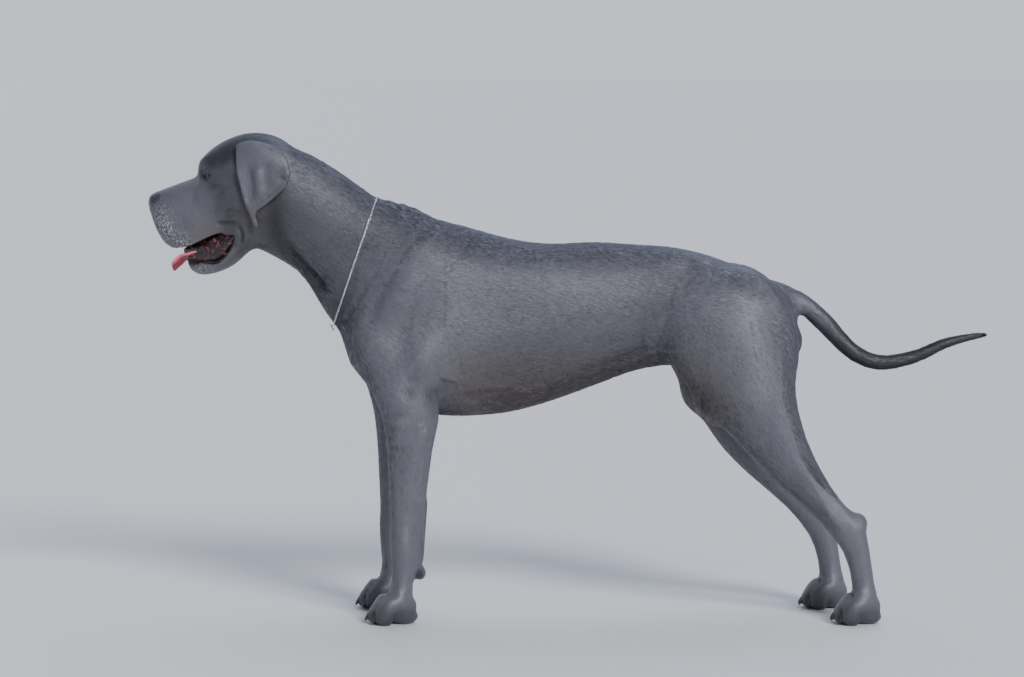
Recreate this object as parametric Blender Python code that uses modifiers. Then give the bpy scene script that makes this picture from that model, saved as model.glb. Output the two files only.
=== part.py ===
"""Life-size great dane in a show stance: head towards -X, left side towards -Y, soles on z = 0."""

import math

import bmesh
import bpy
import numpy as np
from mathutils import Matrix, Vector
from mathutils.bvhtree import BVHTree

# Driving sizes, in metres and degrees
NOSE_TIP = Vector((-0.846, 0.0, 0.838))  # before the head turns
HEAD_PITCH = -21.0  # the muzzle points down by this much
HEAD_TURN = -9.0  # the head looks a little to its right
HEAD_PIVOT = Vector((-0.570, 0.0, 0.840))  # top of the neck, where the head turns
FORE_TRACK = 0.089  # middle line to the middle of a fore leg
HIND_TRACK = 0.090  # middle line to the middle of a hind leg
RIGHT_FORE_LEAD = 0.026  # the right fore leg stands this far ahead of the left
RIGHT_HIND_LEAD = 0.050  # and the right hind leg this far
EYE_RADIUS = 0.0125
EYE_PLACE = (0.145, 0.0372, 0.000)  # behind the nose tip, to the side, above the bridge
EYE_SEGMENTS = 14
LID_THICKNESS = 0.0035
EAR_THICKNESS = 0.0045
CHAIN_RADIUS = 0.0020
GAP = 0.0003  # between nodes that touch
WELD = 0.000001  # corners closer than this are one
SOLE_DEPTH = 0.0016  # cut off under the lowest pad, so that every paw stands on a flat

SKIN_VOXEL = 0.0035
SKIN_SMOOTHING = 200  # rounds
SKIN_TRIANGLES = 7900
SIDES = 36  # corners in one ring of a loft
RING_STEP = 0.008  # distance between the rings of a loft


def clear_scene():
    for thing in list(bpy.data.objects):
        bpy.data.objects.remove(thing)


clear_scene()
dog = bpy.data.collections.new("great_dane")
bpy.context.scene.collection.children.link(dog)


# Materials

def material(name, colour, roughness, metallic=0.0):
    made = bpy.data.materials.new(name)
    made.use_nodes = True
    shader = made.node_tree.nodes["Principled BSDF"]
    shader.inputs["Base Color"].default_value = (*colour, 1.0)
    shader.inputs["Roughness"].default_value = roughness
    shader.inputs["Metallic"].default_value = metallic
    return made


coat = material("blue_coat", (0.105, 0.108, 0.122), 0.5)
tail_coat = material("tail_coat", (0.062, 0.062, 0.068), 0.55)
eye_gloss = material("eye_gloss", (0.030, 0.024, 0.022), 0.08)
tongue_flesh = material("tongue_flesh", (0.62, 0.17, 0.19), 0.35)
chain_steel = material("chain_steel", (0.78, 0.78, 0.76), 0.25, 1.0)


# Lofts through a few stations

def through(rows, step):
    """Rows on a smooth curve through the given ones, one about every step; columns 0 to 2 are the place."""
    rows = np.array(rows, float)
    made = []
    for i in range(len(rows) - 1):
        before = rows[max(i - 1, 0)]
        start, end = rows[i], rows[i + 1]
        after = rows[min(i + 2, len(rows) - 1)]
        count = max(2, int(np.linalg.norm((end - start)[:3]) / step))
        for k in range(count):
            t = k / count
            made.append(0.5 * (2 * start + (end - before) * t
                               + (2 * before - 5 * start + 4 * end - after) * t * t
                               + (3 * start - before - 3 * end + after) * t ** 3))
    made.append(rows[-1])
    return np.array(made)


def evenly(rows, count):
    """Points spread along the smooth curve through the rows, as many between one row and the next."""
    rows = np.array([rows[0], *rows, rows[-1]], float)
    spans = len(rows) - 3
    made = []
    for k in range(count):
        place = k / (count - 1) * spans
        i = min(int(place), spans - 1)
        before, start, end, after = rows[i:i + 4]
        t = place - i
        made.append(Vector(0.5 * (2 * start + (end - before) * t
                                  + (2 * before - 5 * start + 4 * end - after) * t * t
                                  + (3 * start - before - 3 * end + after) * t ** 3)))
    return made


def power(value, exponent):
    return math.copysign(abs(value) ** (2.0 / exponent), value)


def ring_points(row, sides):
    """One closed ring: a superellipse whose upper and lower halves differ, tilted sideways on."""
    x, y, z, tilt, up, down, side, n_up, n_down = row
    lean = math.radians(tilt)
    points = []
    for i in range(sides):
        angle = 2 * math.pi * i / sides
        rise = math.cos(angle)
        high, n = (up, n_up) if rise > 0 else (down, n_down)
        height = power(rise, n) * high
        across = power(math.sin(angle), n) * side
        points.append((x + math.sin(lean) * height, y + across, z + math.cos(lean) * height))
    return points


def new_object(name, mesh):
    made = bpy.data.objects.new(name, mesh)
    bpy.context.scene.collection.objects.link(made)
    return made


def loft(rows, step=RING_STEP, sides=SIDES):
    """A closed body through stations of (x, y, z, tilt, up, down, side, n_up, n_down)."""
    work = bmesh.new()
    rings = [[work.verts.new(p) for p in ring_points(row, sides)] for row in through(rows, step)]
    for ring, after in zip(rings, rings[1:]):
        for i in range(sides):
            j = (i + 1) % sides
            work.faces.new((ring[i], ring[j], after[j], after[i]))
    work.faces.new(rings[0])
    work.faces.new(rings[-1])
    bmesh.ops.recalc_face_normals(work, faces=work.faces)
    mesh = bpy.data.meshes.new("loft")
    work.to_mesh(mesh)
    work.free()
    return new_object("loft", mesh)


def ball(place, radii, turn=(0.0, 0.0, 0.0), segments=28):
    """An ellipsoid, turned by degrees about x, y and z."""
    work = bmesh.new()
    bmesh.ops.create_uvsphere(work, u_segments=segments, v_segments=segments * 2 // 3, radius=1.0)
    turned = Matrix.LocRotScale(Vector(place), Matrix.Rotation(math.radians(turn[2]), 3, "Z")
                                @ Matrix.Rotation(math.radians(turn[1]), 3, "Y")
                                @ Matrix.Rotation(math.radians(turn[0]), 3, "X"), Vector(radii))
    bmesh.ops.transform(work, matrix=turned, verts=work.verts)
    mesh = bpy.data.meshes.new("ball")
    work.to_mesh(mesh)
    work.free()
    return new_object("ball", mesh)


def rod(start, end, start_radius, end_radius):
    """A round bar with ball ends, such as a toe bone with its flesh."""
    work = bmesh.new()
    start, end = Vector(start), Vector(end)
    for place, radius in ((start, start_radius), (end, end_radius)):
        bmesh.ops.create_uvsphere(work, u_segments=16, v_segments=10, radius=radius,
                                  matrix=Matrix.Translation(place))
    along = (end - start).to_track_quat("Z", "Y").to_matrix().to_4x4()
    bmesh.ops.create_cone(work, cap_ends=True, segments=16, radius1=start_radius, radius2=end_radius,
                          depth=(end - start).length, matrix=Matrix.Translation((start + end) / 2) @ along)
    mesh = bpy.data.meshes.new("rod")
    work.to_mesh(mesh)
    work.free()
    return new_object("rod", mesh)


# Fusing pieces of flesh into one skin, and cutting that skin into nodes

def as_seen(thing):
    """The object's mesh with its modifiers applied."""
    bpy.context.view_layer.update()
    return bpy.data.meshes.new_from_object(thing.evaluated_get(bpy.context.evaluated_depsgraph_get()))


def apply_modifiers(thing):
    mesh = as_seen(thing)
    thing.modifiers.clear()
    thing.data = mesh
    return thing


def join(pieces):
    """Several objects as the loose shells of one mesh."""
    work = bmesh.new()
    for piece in pieces:
        work.from_mesh(piece.data)
        bpy.data.objects.remove(piece)
    mesh = bpy.data.meshes.new("joined")
    work.to_mesh(mesh)
    work.free()
    return new_object("joined", mesh)


def largest_shell(thing):
    """Keeps only the biggest closed surface of a mesh."""
    work = bmesh.new()
    work.from_mesh(thing.data)
    left, shells = set(work.verts), []
    while left:
        shell, front = set(), [left.pop()]
        while front:
            vert = front.pop()
            shell.add(vert)
            for edge in vert.link_edges:
                other = edge.other_vert(vert)
                if other in left:
                    left.discard(other)
                    front.append(other)
        shells.append(shell)
    shells.sort(key=len)
    for shell in shells[:-1]:
        bmesh.ops.delete(work, geom=list(shell), context="VERTS")
    work.to_mesh(thing.data)
    work.free()
    return thing


def fuse(pieces, voxel, softness, rounds, triangles):
    """One closed skin over overlapping pieces; softness(place) is 0 at a kept crease, 1 where it flows."""
    skin = join(pieces)
    remesh = skin.modifiers.new("remesh", "REMESH")
    remesh.mode = "VOXEL"
    remesh.voxel_size = voxel
    remesh.adaptivity = 0.0
    apply_modifiers(skin)
    group = skin.vertex_groups.new(name="soft")
    for vert in skin.data.vertices:
        group.add([vert.index], softness(vert.co), "REPLACE")
    smooth = skin.modifiers.new("smooth", "SMOOTH")
    smooth.iterations = rounds
    smooth.vertex_group = group.name
    decimate = skin.modifiers.new("decimate", "DECIMATE")
    decimate.ratio = triangles / (2.0 * len(skin.data.polygons))
    decimate.use_collapse_triangulate = True
    apply_modifiers(skin)
    skin.vertex_groups.clear()
    return largest_shell(skin)


def block(planes, grow=0.0):
    """A convex cutter: what lies behind all the planes, each a point and the normal that points out."""
    work = bmesh.new()
    bmesh.ops.create_cube(work, size=4.0)
    for point, normal in planes:
        normal = Vector(normal).normalized()
        cut = bmesh.ops.bisect_plane(work, geom=work.verts[:] + work.edges[:] + work.faces[:],
                                     plane_co=Vector(point) + normal * grow, plane_no=normal,
                                     clear_outer=True)
        edges = [g for g in cut["geom_cut"] if isinstance(g, bmesh.types.BMEdge)]
        bmesh.ops.edgeloop_fill(work, edges=edges)
    bmesh.ops.recalc_face_normals(work, faces=work.faces)
    mesh = bpy.data.meshes.new("block")
    work.to_mesh(mesh)
    work.free()
    return new_object("block", mesh)


def boolean(thing, cutter, operation, solver="EXACT"):
    change = thing.modifiers.new("cut", "BOOLEAN")
    change.operation = operation
    change.object = cutter
    change.solver = solver
    apply_modifiers(thing)
    return thing


def carve(thing, cutter, solver="EXACT"):
    boolean(thing, cutter, "DIFFERENCE", solver)
    bpy.data.objects.remove(cutter)
    return thing


def copy_of(thing):
    return new_object(thing.name, thing.data.copy())


def grown(thing, distance):
    """A copy whose surface stands out by distance."""
    fat = copy_of(thing)
    normals = [vert.normal.copy() for vert in fat.data.vertices]
    for vert, normal in zip(fat.data.vertices, normals):
        vert.co += normal * distance
    return fat


def split_off(source, planes):
    """Takes the part of source inside the planes away as a new object, with a gap left between."""
    part = copy_of(source)
    boolean_cutter = block(planes)
    boolean(part, boolean_cutter, "INTERSECT")
    bpy.data.objects.remove(boolean_cutter)
    carve(source, block(planes, GAP))
    return largest_shell(part)


def drop_folds(work):
    """Deletes triangles that lie back to back on the same corners, which merging corners can leave."""
    corners = {}
    for face in work.faces:
        corners.setdefault(frozenset(face.verts), []).append(face)
    folded = [face for faces in corners.values() if len(faces) > 1 for face in faces]
    bmesh.ops.delete(work, geom=folded, context="FACES")


def finish(thing, name, look):
    """Names a node, gives it its material and puts it with the dog."""
    thing.name = name
    thing.data.name = name
    work = bmesh.new()
    work.from_mesh(thing.data)
    bmesh.ops.remove_doubles(work, verts=work.verts, dist=WELD)
    bmesh.ops.triangulate(work, faces=work.faces)
    drop_folds(work)
    work.to_mesh(thing.data)
    work.free()
    thing.data.materials.clear()
    thing.data.materials.append(look)
    thing.data.shade_smooth()
    for home in list(thing.users_collection):
        home.objects.unlink(thing)
    dog.objects.link(thing)
    return thing


# Trunk: rib cage, loin and rump as one loft from the breastbone to the pin bones

def trunk():
    """Stations of place, tilt, half sizes up, down and sideways, and how square each half is."""
    return loft([
        (-0.455, 0, 0.612, 0, 0.045, 0.050, 0.034, 2.0, 2.0),
        (-0.437, 0, 0.610, 0, 0.100, 0.092, 0.062, 2.0, 2.0),
        (-0.405, 0, 0.625, 0, 0.160, 0.160, 0.083, 2.0, 1.9),
        (-0.360, 0, 0.635, 0, 0.180, 0.214, 0.093, 2.0, 1.8),
        (-0.290, 0, 0.635, 0, 0.172, 0.228, 0.102, 1.9, 1.8),
        (-0.210, 0, 0.620, 0, 0.168, 0.217, 0.113, 1.9, 1.8),
        (-0.120, 0, 0.612, 0, 0.150, 0.200, 0.120, 2.0, 1.9),
        (-0.040, 0, 0.612, 0, 0.139, 0.178, 0.118, 2.1, 2.0),
        (0.050, 0, 0.616, 0, 0.139, 0.150, 0.103, 2.2, 2.0),
        (0.130, 0, 0.622, 0, 0.128, 0.126, 0.087, 2.3, 2.0),
        (0.200, 0, 0.625, 0, 0.121, 0.118, 0.083, 2.3, 2.0),
        (0.270, 0, 0.620, 0, 0.111, 0.115, 0.088, 2.2, 2.0),
        (0.340, 0, 0.605, 0, 0.100, 0.110, 0.084, 2.1, 2.0),
        (0.400, 0, 0.590, 0, 0.086, 0.105, 0.068, 2.0, 2.0),
        (0.438, 0, 0.585, 0, 0.060, 0.085, 0.046, 2.0, 2.0),
        (0.452, 0, 0.585, 0, 0.030, 0.050, 0.024, 2.0, 2.0),
    ])


def neck():
    """From between the shoulders up to the skull, tilted with its length."""
    return loft([
        (-0.270, 0, 0.640, 20, 0.130, 0.160, 0.074, 2.0, 2.0),
        (-0.350, 0, 0.690, 20, 0.140, 0.150, 0.084, 1.9, 1.9),
        (-0.425, 0, 0.716, 20, 0.135, 0.135, 0.079, 1.9, 1.9),
        (-0.480, 0, 0.765, 30, 0.122, 0.097, 0.070, 1.9, 1.9),
        (-0.530, 0, 0.806, 33, 0.117, 0.100, 0.063, 2.0, 1.9),
        (-0.580, 0.004, 0.838, 26, 0.112, 0.104, 0.060, 2.0, 2.0),
        (-0.630, 0.012, 0.858, 10, 0.080, 0.090, 0.056, 2.0, 2.0),
    ])


# Legs, built as the left one; side is -1 for the left leg and +1 for the right

def upright(rows, side, lead):
    """A loft down a leg: rows of height, front, rear, middle, half width; lead(height) sets it forward."""
    stations = []
    for z, front, rear, middle, half in rows:
        stations.append(((front + rear) / 2 - lead(z), side * middle, z, -90.0,
                         (rear - front) / 2, (rear - front) / 2, half, 2.1, 2.1))
    return loft(stations)


def fore_lead(side, z):
    """How far a fore leg stands ahead at a height: the right one swings from its shoulder."""
    return RIGHT_FORE_LEAD * float(np.interp(z, (0.40, 0.62), (1.0, 0.0))) if side > 0 else 0.0


def hind_lead(side, z):
    """How far a hind leg stands ahead at a height: the right one from its stifle down."""
    share = float(np.interp(z, (0.32, 0.40, 0.45, 0.55), (1.0, 0.72, 0.34, 0.0)))
    return RIGHT_HIND_LEAD * share if side > 0 else 0.0


TOE_HALF_WIDTH = 0.0135
TOE_SPREAD = (-1.5, -0.5, 0.5, 1.5)


def paw(x, y, length, width):
    """Four arched toes with claws, and the ball of the foot behind them; x, y is the middle of the sole."""
    pieces = []
    pitch = width / 4.0
    for slot in TOE_SPREAD:
        outer = abs(slot) > 1.0
        tip_x = x - length * (0.32 if outer else 0.46)
        toe_y = y + slot * pitch
        root_y = y + slot * pitch * 0.72
        knuckle = (tip_x + length * 0.27, toe_y, 0.038)
        pieces.append(rod((x + length * 0.12, root_y, 0.048), knuckle, 0.017, 0.0158))
        pieces.append(rod(knuckle, (tip_x + 0.014, toe_y, 0.018), 0.0158, TOE_HALF_WIDTH))
        pieces.append(ball((tip_x + 0.023, toe_y, 0.009), (0.017, 0.0115, 0.011)))
        pieces.append(rod((tip_x + 0.008, toe_y, 0.020), (tip_x - 0.006, toe_y, 0.009), 0.0056, 0.0036))
    pieces.append(ball((x + length * 0.20, y, 0.014), (0.030, width * 0.33, 0.016)))
    pieces.append(ball((x + length * 0.12, y, 0.036), (0.036, width * 0.36, 0.024)))
    return pieces


def fore_leg(side):
    """Shoulder blade, upper arm, forearm, wrist, pastern and paw."""
    leg = [upright([
        (0.500, -0.405, -0.268, 0.078, 0.038),
        (0.455, -0.392, -0.260, 0.084, 0.040),
        (0.415, -0.375, -0.259, FORE_TRACK, 0.041),
        (0.375, -0.367, -0.264, FORE_TRACK, 0.037),
        (0.315, -0.362, -0.275, FORE_TRACK, 0.032),
        (0.255, -0.359, -0.284, FORE_TRACK, 0.028),
        (0.215, -0.357, -0.298, FORE_TRACK, 0.026),
        (0.175, -0.358, -0.303, FORE_TRACK, 0.029),
        (0.145, -0.357, -0.303, FORE_TRACK, 0.030),
        (0.115, -0.354, -0.306, FORE_TRACK, 0.027),
        (0.085, -0.353, -0.311, FORE_TRACK, 0.026),
        (0.055, -0.362, -0.312, FORE_TRACK, 0.030),
        (0.036, -0.368, -0.316, FORE_TRACK, 0.029),
    ], side, lambda z: fore_lead(side, z))]
    ahead = fore_lead(side, 0.0)
    y = side * FORE_TRACK
    leg += paw(-0.352 - ahead, y, 0.112, 0.088)
    # the tendon behind, down to the wrist
    leg.append(rod((-0.290 - ahead, y, 0.250), (-0.298 - ahead, y, 0.130), 0.012, 0.011))
    leg.append(ball((-0.297 - ahead, y, 0.102), (0.014, 0.012, 0.017)))  # stopper pad behind the wrist
    leg.append(rod((-0.330 - ahead, y - side * 0.020, 0.120),
                   (-0.340 - ahead, y - side * 0.029, 0.094), 0.009, 0.007))  # dewclaw
    ahead = fore_lead(side, 0.45)
    leg.append(ball((-0.272 - ahead, side * 0.092, 0.415), (0.020, 0.022, 0.032)))  # point of the elbow
    leg.append(ball((-0.375 - ahead, side * 0.074, 0.540), (0.058, 0.044, 0.080), (0, -18, 0)))  # upper arm
    leg.append(ball((-0.300 - ahead, side * 0.079, 0.520), (0.072, 0.040, 0.090), (0, 30, 0)))  # triceps
    leg.append(ball((-0.335, side * 0.075, 0.650), (0.060, 0.036, 0.135), (0, 24, 0)))  # shoulder blade
    leg.append(ball((-0.402, side * 0.073, 0.578), (0.036, 0.038, 0.052)))  # point of the shoulder
    leg.append(ball((-0.406, side * 0.034, 0.560), (0.042, 0.042, 0.075)))  # breast muscle
    return leg


def hind_leg(side):
    """Thigh, stifle, gaskin, hock, metatarsus and paw."""
    leg = [upright([
        (0.700, 0.250, 0.372, 0.055, 0.042),
        (0.655, 0.208, 0.425, 0.063, 0.046),
        (0.600, 0.188, 0.446, 0.070, 0.050),
        (0.540, 0.190, 0.452, 0.075, 0.051),
        (0.490, 0.216, 0.450, 0.079, 0.050),
        (0.450, 0.250, 0.452, 0.083, 0.048),
        (0.410, 0.288, 0.460, 0.087, 0.044),
        (0.370, 0.322, 0.472, 0.089, 0.040),
        (0.330, 0.358, 0.489, HIND_TRACK, 0.037),
        (0.290, 0.398, 0.510, HIND_TRACK, 0.032),
        (0.255, 0.438, 0.534, HIND_TRACK, 0.028),
        (0.225, 0.473, 0.561, HIND_TRACK, 0.027),
        (0.200, 0.500, 0.584, HIND_TRACK, 0.028),
        (0.175, 0.522, 0.592, HIND_TRACK, 0.029),
        (0.150, 0.540, 0.596, HIND_TRACK, 0.027),
        (0.120, 0.553, 0.601, HIND_TRACK, 0.025),
        (0.085, 0.561, 0.606, HIND_TRACK, 0.024),
        (0.055, 0.562, 0.613, HIND_TRACK, 0.028),
        (0.036, 0.560, 0.617, HIND_TRACK, 0.027),
    ], side, lambda z: hind_lead(side, z))]
    y = side * HIND_TRACK
    leg += paw(0.572 - hind_lead(side, 0.0), y, 0.106, 0.082)
    hock_x = 0.577 - hind_lead(side, 0.2)
    stifle_x = 0.282 - hind_lead(side, 0.45)
    leg.append(ball((hock_x, y, 0.206), (0.017, 0.014, 0.022), (0, -30, 0)))  # point of the hock
    leg.append(ball((0.330, side * 0.070, 0.628), (0.105, 0.043, 0.082), (0, 14, 0)))  # rump muscle
    leg.append(ball((0.398, side * 0.060, 0.555), (0.060, 0.047, 0.105), (0, -6, 0)))  # rear of the thigh
    leg.append(ball((stifle_x, side * 0.089, 0.440), (0.040, 0.040, 0.050), (0, -30, 0)))
    return leg


def under_tail():
    """The female's soft parts between the thighs, under the root of the tail."""
    return ball((0.452, 0, 0.552), (0.020, 0.016, 0.036), (0, 8, 0))


def tail():
    """It falls from the rump and sweeps up again towards its tip."""
    return loft([(x, 0.0, z, fall, half, half, half, 2.0, 2.0) for x, z, fall, half in (
        (0.385, 0.655, 25, 0.032),
        (0.425, 0.650, 25, 0.026),
        (0.462, 0.635, 35, 0.0215),
        (0.490, 0.612, 41, 0.0205),
        (0.515, 0.588, 45, 0.0200),
        (0.540, 0.560, 45, 0.0172),
        (0.570, 0.533, 33, 0.0153),
        (0.610, 0.5150, 13, 0.0145),
        (0.650, 0.5150, -8, 0.0135),
        (0.700, 0.528, -20, 0.0120),
        (0.750, 0.551, -20, 0.0100),
        (0.800, 0.564, -11, 0.0073),
        (0.825, 0.568, -8, 0.0058),
        (0.843, 0.570, 0, 0.0030),
    )])


# Head, in a frame that is then pitched and turned: x runs back from the nose tip, z up from the bridge

HEAD_FRAME = (Matrix.Translation(HEAD_PIVOT) @ Matrix.Rotation(math.radians(HEAD_TURN), 4, "Z")
              @ Matrix.Translation(-HEAD_PIVOT) @ Matrix.Translation(NOSE_TIP)
              @ Matrix.Rotation(math.radians(HEAD_PITCH), 4, "Y"))


def on_head(pieces):
    for piece in pieces:
        piece.data.transform(HEAD_FRAME)
    return pieces


def both(make):
    return [make(-1), make(1)]


def upper_head():
    pieces = [loft([  # muzzle with its hanging lips
        (-0.003, 0, -0.048, 0, 0.024, 0.028, 0.016, 2.2, 2.2),
        (0.001, 0, -0.050, 0, 0.040, 0.044, 0.029, 2.3, 2.3),
        (0.010, 0, -0.055, 0, 0.057, 0.052, 0.036, 2.4, 2.5),
        (0.026, 0, -0.062, 0, 0.069, 0.063, 0.040, 2.4, 2.6),
        (0.050, 0, -0.070, 0, 0.077, 0.064, 0.043, 2.5, 2.8),
        (0.080, 0, -0.072, 0, 0.079, 0.060, 0.046, 2.5, 2.8),
        (0.108, 0, -0.072, 0, 0.078, 0.056, 0.050, 2.4, 2.6),
        (0.135, 0, -0.068, 0, 0.078, 0.058, 0.055, 2.2, 2.4),
        (0.165, 0, -0.060, 0, 0.070, 0.064, 0.058, 2.0, 2.0),
        (0.200, 0, -0.050, 0, 0.050, 0.050, 0.050, 2.0, 2.0),
    ])]
    pieces.append(loft([  # brain case, from the stop to the nape
        (0.112, 0, -0.012, 0, 0.012, 0.030, 0.018, 2.0, 2.0),
        (0.122, 0, -0.010, 0, 0.032, 0.050, 0.038, 2.3, 2.0),
        (0.136, 0, -0.010, 0, 0.046, 0.060, 0.051, 2.4, 2.0),
        (0.158, 0, -0.010, 0, 0.057, 0.070, 0.059, 2.3, 2.0),
        (0.195, 0, -0.012, 0, 0.066, 0.080, 0.063, 2.2, 2.0),
        (0.235, 0, -0.014, 0, 0.066, 0.085, 0.061, 2.1, 2.0),
        (0.270, 0, -0.016, 0, 0.056, 0.080, 0.053, 2.0, 2.0),
        (0.298, 0, -0.020, 0, 0.040, 0.060, 0.040, 2.0, 2.0),
        (0.314, 0, -0.024, 0, 0.020, 0.030, 0.020, 2.0, 2.0),
    ]))
    pieces += both(lambda s: ball((0.190, s * 0.036, -0.064), (0.072, 0.030, 0.070), (0, 20, 0)))  # cheek
    # under each eye, and its cheek bone
    pieces += both(lambda s: ball((0.138, s * 0.035, -0.048), (0.046, 0.022, 0.050), (0, 10, 0)))
    pieces += both(lambda s: ball((0.178, s * 0.048, -0.018), (0.040, 0.014, 0.013), (0, 12, 0)))
    pieces += both(lambda s: ball((0.145, s * 0.031, 0.026), (0.020, 0.017, 0.012), (0, -25, 0)))  # brow
    pieces += both(lambda s: ball((0.176, s * 0.030, -0.116), (0.052, 0.022, 0.056)))  # rear of the jaw
    pieces.append(ball((0.172, 0, -0.116), (0.050, 0.036, 0.052)))  # throat between the jaws
    pieces.append(ball((0.220, 0, -0.088), (0.060, 0.042, 0.074)))  # gullet, into the neck
    pieces.append(loft([  # nose leather
        (-0.004, 0, -0.018, 0, 0.008, 0.010, 0.010, 2.2, 2.0),
        (0.001, 0, -0.016, 0, 0.017, 0.018, 0.019, 2.4, 2.0),
        (0.010, 0, -0.015, 0, 0.022, 0.022, 0.023, 2.4, 2.0),
        (0.026, 0, -0.014, 0, 0.022, 0.020, 0.022, 2.4, 2.0),
    ], step=0.003))
    eye_x, eye_y, eye_z = EYE_PLACE
    # closed lids
    pieces += both(lambda s: ball((eye_x, s * eye_y, eye_z), (EYE_RADIUS + LID_THICKNESS,) * 3))
    return on_head(pieces)


def lower_jaw():
    return on_head([loft([
        (0.030, 0, -0.150, 0, 0.008, 0.009, 0.012, 2.2, 2.0),
        (0.036, 0, -0.156, 0, 0.016, 0.016, 0.022, 2.4, 2.2),
        (0.052, 0, -0.163, 0, 0.018, 0.019, 0.030, 2.6, 2.3),
        (0.072, 0, -0.169, 0, 0.014, 0.017, 0.035, 2.8, 2.3),
        (0.092, 0, -0.173, 0, 0.013, 0.014, 0.038, 2.8, 2.2),
        (0.112, 0, -0.169, 0, 0.015, 0.016, 0.041, 2.6, 2.2),
        (0.130, 0, -0.160, 0, 0.019, 0.020, 0.043, 2.4, 2.1),
        (0.148, 0, -0.150, 0, 0.020, 0.022, 0.043, 2.2, 2.0),
        (0.175, 0, -0.143, 0, 0.020, 0.024, 0.038, 2.0, 2.0),
    ], step=0.005)])


def mouth_cutters():
    """The hollow under the palate, and the slits that open it to the corners of the mouth."""
    return on_head([loft([
        (0.006, 0, -0.128, 0, 0.008, 0.012, 0.012, 2.2, 2.0),
        (0.022, 0, -0.126, 0, 0.022, 0.016, 0.026, 2.4, 2.0),
        (0.050, 0, -0.126, 0, 0.034, 0.020, 0.033, 2.6, 2.2),
        (0.080, 0, -0.128, 0, 0.038, 0.026, 0.037, 2.6, 2.2),
        (0.110, 0, -0.128, 0, 0.034, 0.028, 0.039, 2.6, 2.2),
        (0.132, 0, -0.130, 0, 0.022, 0.020, 0.038, 2.2, 2.0),
        (0.142, 0, -0.130, 0, 0.008, 0.008, 0.030, 2.0, 2.0),
    ], step=0.014, sides=20), loft([
        (0.070, 0, -0.147, 0, 0.012, 0.012, 0.070, 6, 6),
        (0.095, 0, -0.148, 0, 0.018, 0.019, 0.070, 6, 6),
        (0.118, 0, -0.144, 0, 0.017, 0.016, 0.070, 6, 6),
        (0.136, 0, -0.137, 0, 0.010, 0.009, 0.070, 6, 6),
        (0.150, 0, -0.131, 0, 0.002, 0.002, 0.070, 6, 6),
    ], step=0.010, sides=20)])


def tongue():
    """It lies in the mouth and hangs out over the chin."""
    return on_head([loft([
        (-0.004, 0, -0.145, 20, 0.0055, 0.0055, 0.009, 2.2, 2.2),
        (0.001, 0, -0.142, 15, 0.0090, 0.0090, 0.014, 2.4, 2.4),
        (0.011, 0, -0.139, 10, 0.0100, 0.0100, 0.017, 2.4, 2.4),
        (0.024, 0, -0.1355, 5, 0.0085, 0.0080, 0.018, 2.4, 2.4),
        (0.040, 0, -0.136, 0, 0.0075, 0.0065, 0.020, 2.4, 2.2),
        (0.085, 0, -0.147, 0, 0.0090, 0.0080, 0.024, 2.4, 2.2),
        (0.115, 0, -0.144, 0, 0.0090, 0.0080, 0.022, 2.2, 2.0),
        (0.132, 0, -0.141, 0, 0.0050, 0.0040, 0.014, 2.0, 2.0),
    ], step=0.012, sides=16)])[0]


# Ears: each hangs close to the cheek from a fold above its root, open behind, with its tip twisted forward

EAR_FRONT = ((0.228, 0.044, 0.020), (0.222, 0.057, 0.036), (0.215, 0.069, 0.014), (0.208, 0.0725, -0.018),
             (0.203, 0.073, -0.050), (0.199, 0.072, -0.080), (0.199, 0.070, -0.104), (0.204, 0.067, -0.130))
EAR_REAR = ((0.272, 0.040, -0.004), (0.298, 0.053, 0.002), (0.313, 0.065, -0.025), (0.312, 0.070, -0.050),
            (0.303, 0.072, -0.071), (0.262, 0.073, -0.090), (0.210, 0.071, -0.107), (0.206, 0.067, -0.131))
EAR_BULGE = 0.009  # how far the flap swells outwards between its edges
EAR_RISE = 0.012  # how far the fold rises between its ends
EAR_ROWS = 18
EAR_COLUMNS = 8


def ear(side):
    """A flap between its front and rear edges, thickened inwards, its root sunk in the head."""
    front = evenly(EAR_FRONT, EAR_ROWS)
    rear = evenly(EAR_REAR, EAR_ROWS)
    work = bmesh.new()
    grid = []
    for i in range(EAR_ROWS):
        t = i / (EAR_ROWS - 1)
        start, end = front[i], rear[i]
        row = []
        for k in range(EAR_COLUMNS):
            u = k / (EAR_COLUMNS - 1)
            arch = math.sin(math.pi * u)
            x, y, z = start.lerp(end, u)
            swell = EAR_BULGE * arch * math.sin(math.pi * min(1.0, 0.15 + t))
            rise = EAR_RISE * arch * math.exp(-((t - 0.10) / 0.14) ** 2)
            row.append(work.verts.new((x, side * (y + swell), z + rise)))
        grid.append(row)
    for row, after in zip(grid, grid[1:]):
        for k in range(EAR_COLUMNS - 1):
            work.faces.new((row[k], row[k + 1], after[k + 1], after[k]))
    bmesh.ops.recalc_face_normals(work, faces=work.faces)
    mesh = bpy.data.meshes.new("ear")
    work.to_mesh(mesh)
    work.free()
    flap = new_object("ear", mesh)
    thick = flap.modifiers.new("thickness", "SOLIDIFY")
    thick.thickness = EAR_THICKNESS
    thick.offset = 0.0
    thick.use_even_offset = False
    apply_modifiers(flap)
    work = bmesh.new()
    work.from_mesh(flap.data)
    bmesh.ops.recalc_face_normals(work, faces=work.faces)
    work.to_mesh(flap.data)
    work.free()
    return on_head([flap])[0]


# The fused skin of the whole dog, standing on flats

def softness(place):
    """How freely the fused skin flows: little on the head, paws and hocks and at the tail's thin end."""
    foot = np.interp(place.z, (0.09, 0.30, 0.45), (0.08, 0.30, 1.0))
    head = np.interp(place.x, (-0.64, -0.50), (0.10, 1.0))
    thin_tail = np.interp(place.x, (0.46, 0.56), (1.0, 0.08)) if place.z > 0.45 else 1.0
    return float(min(foot, head, thin_tail))


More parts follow.
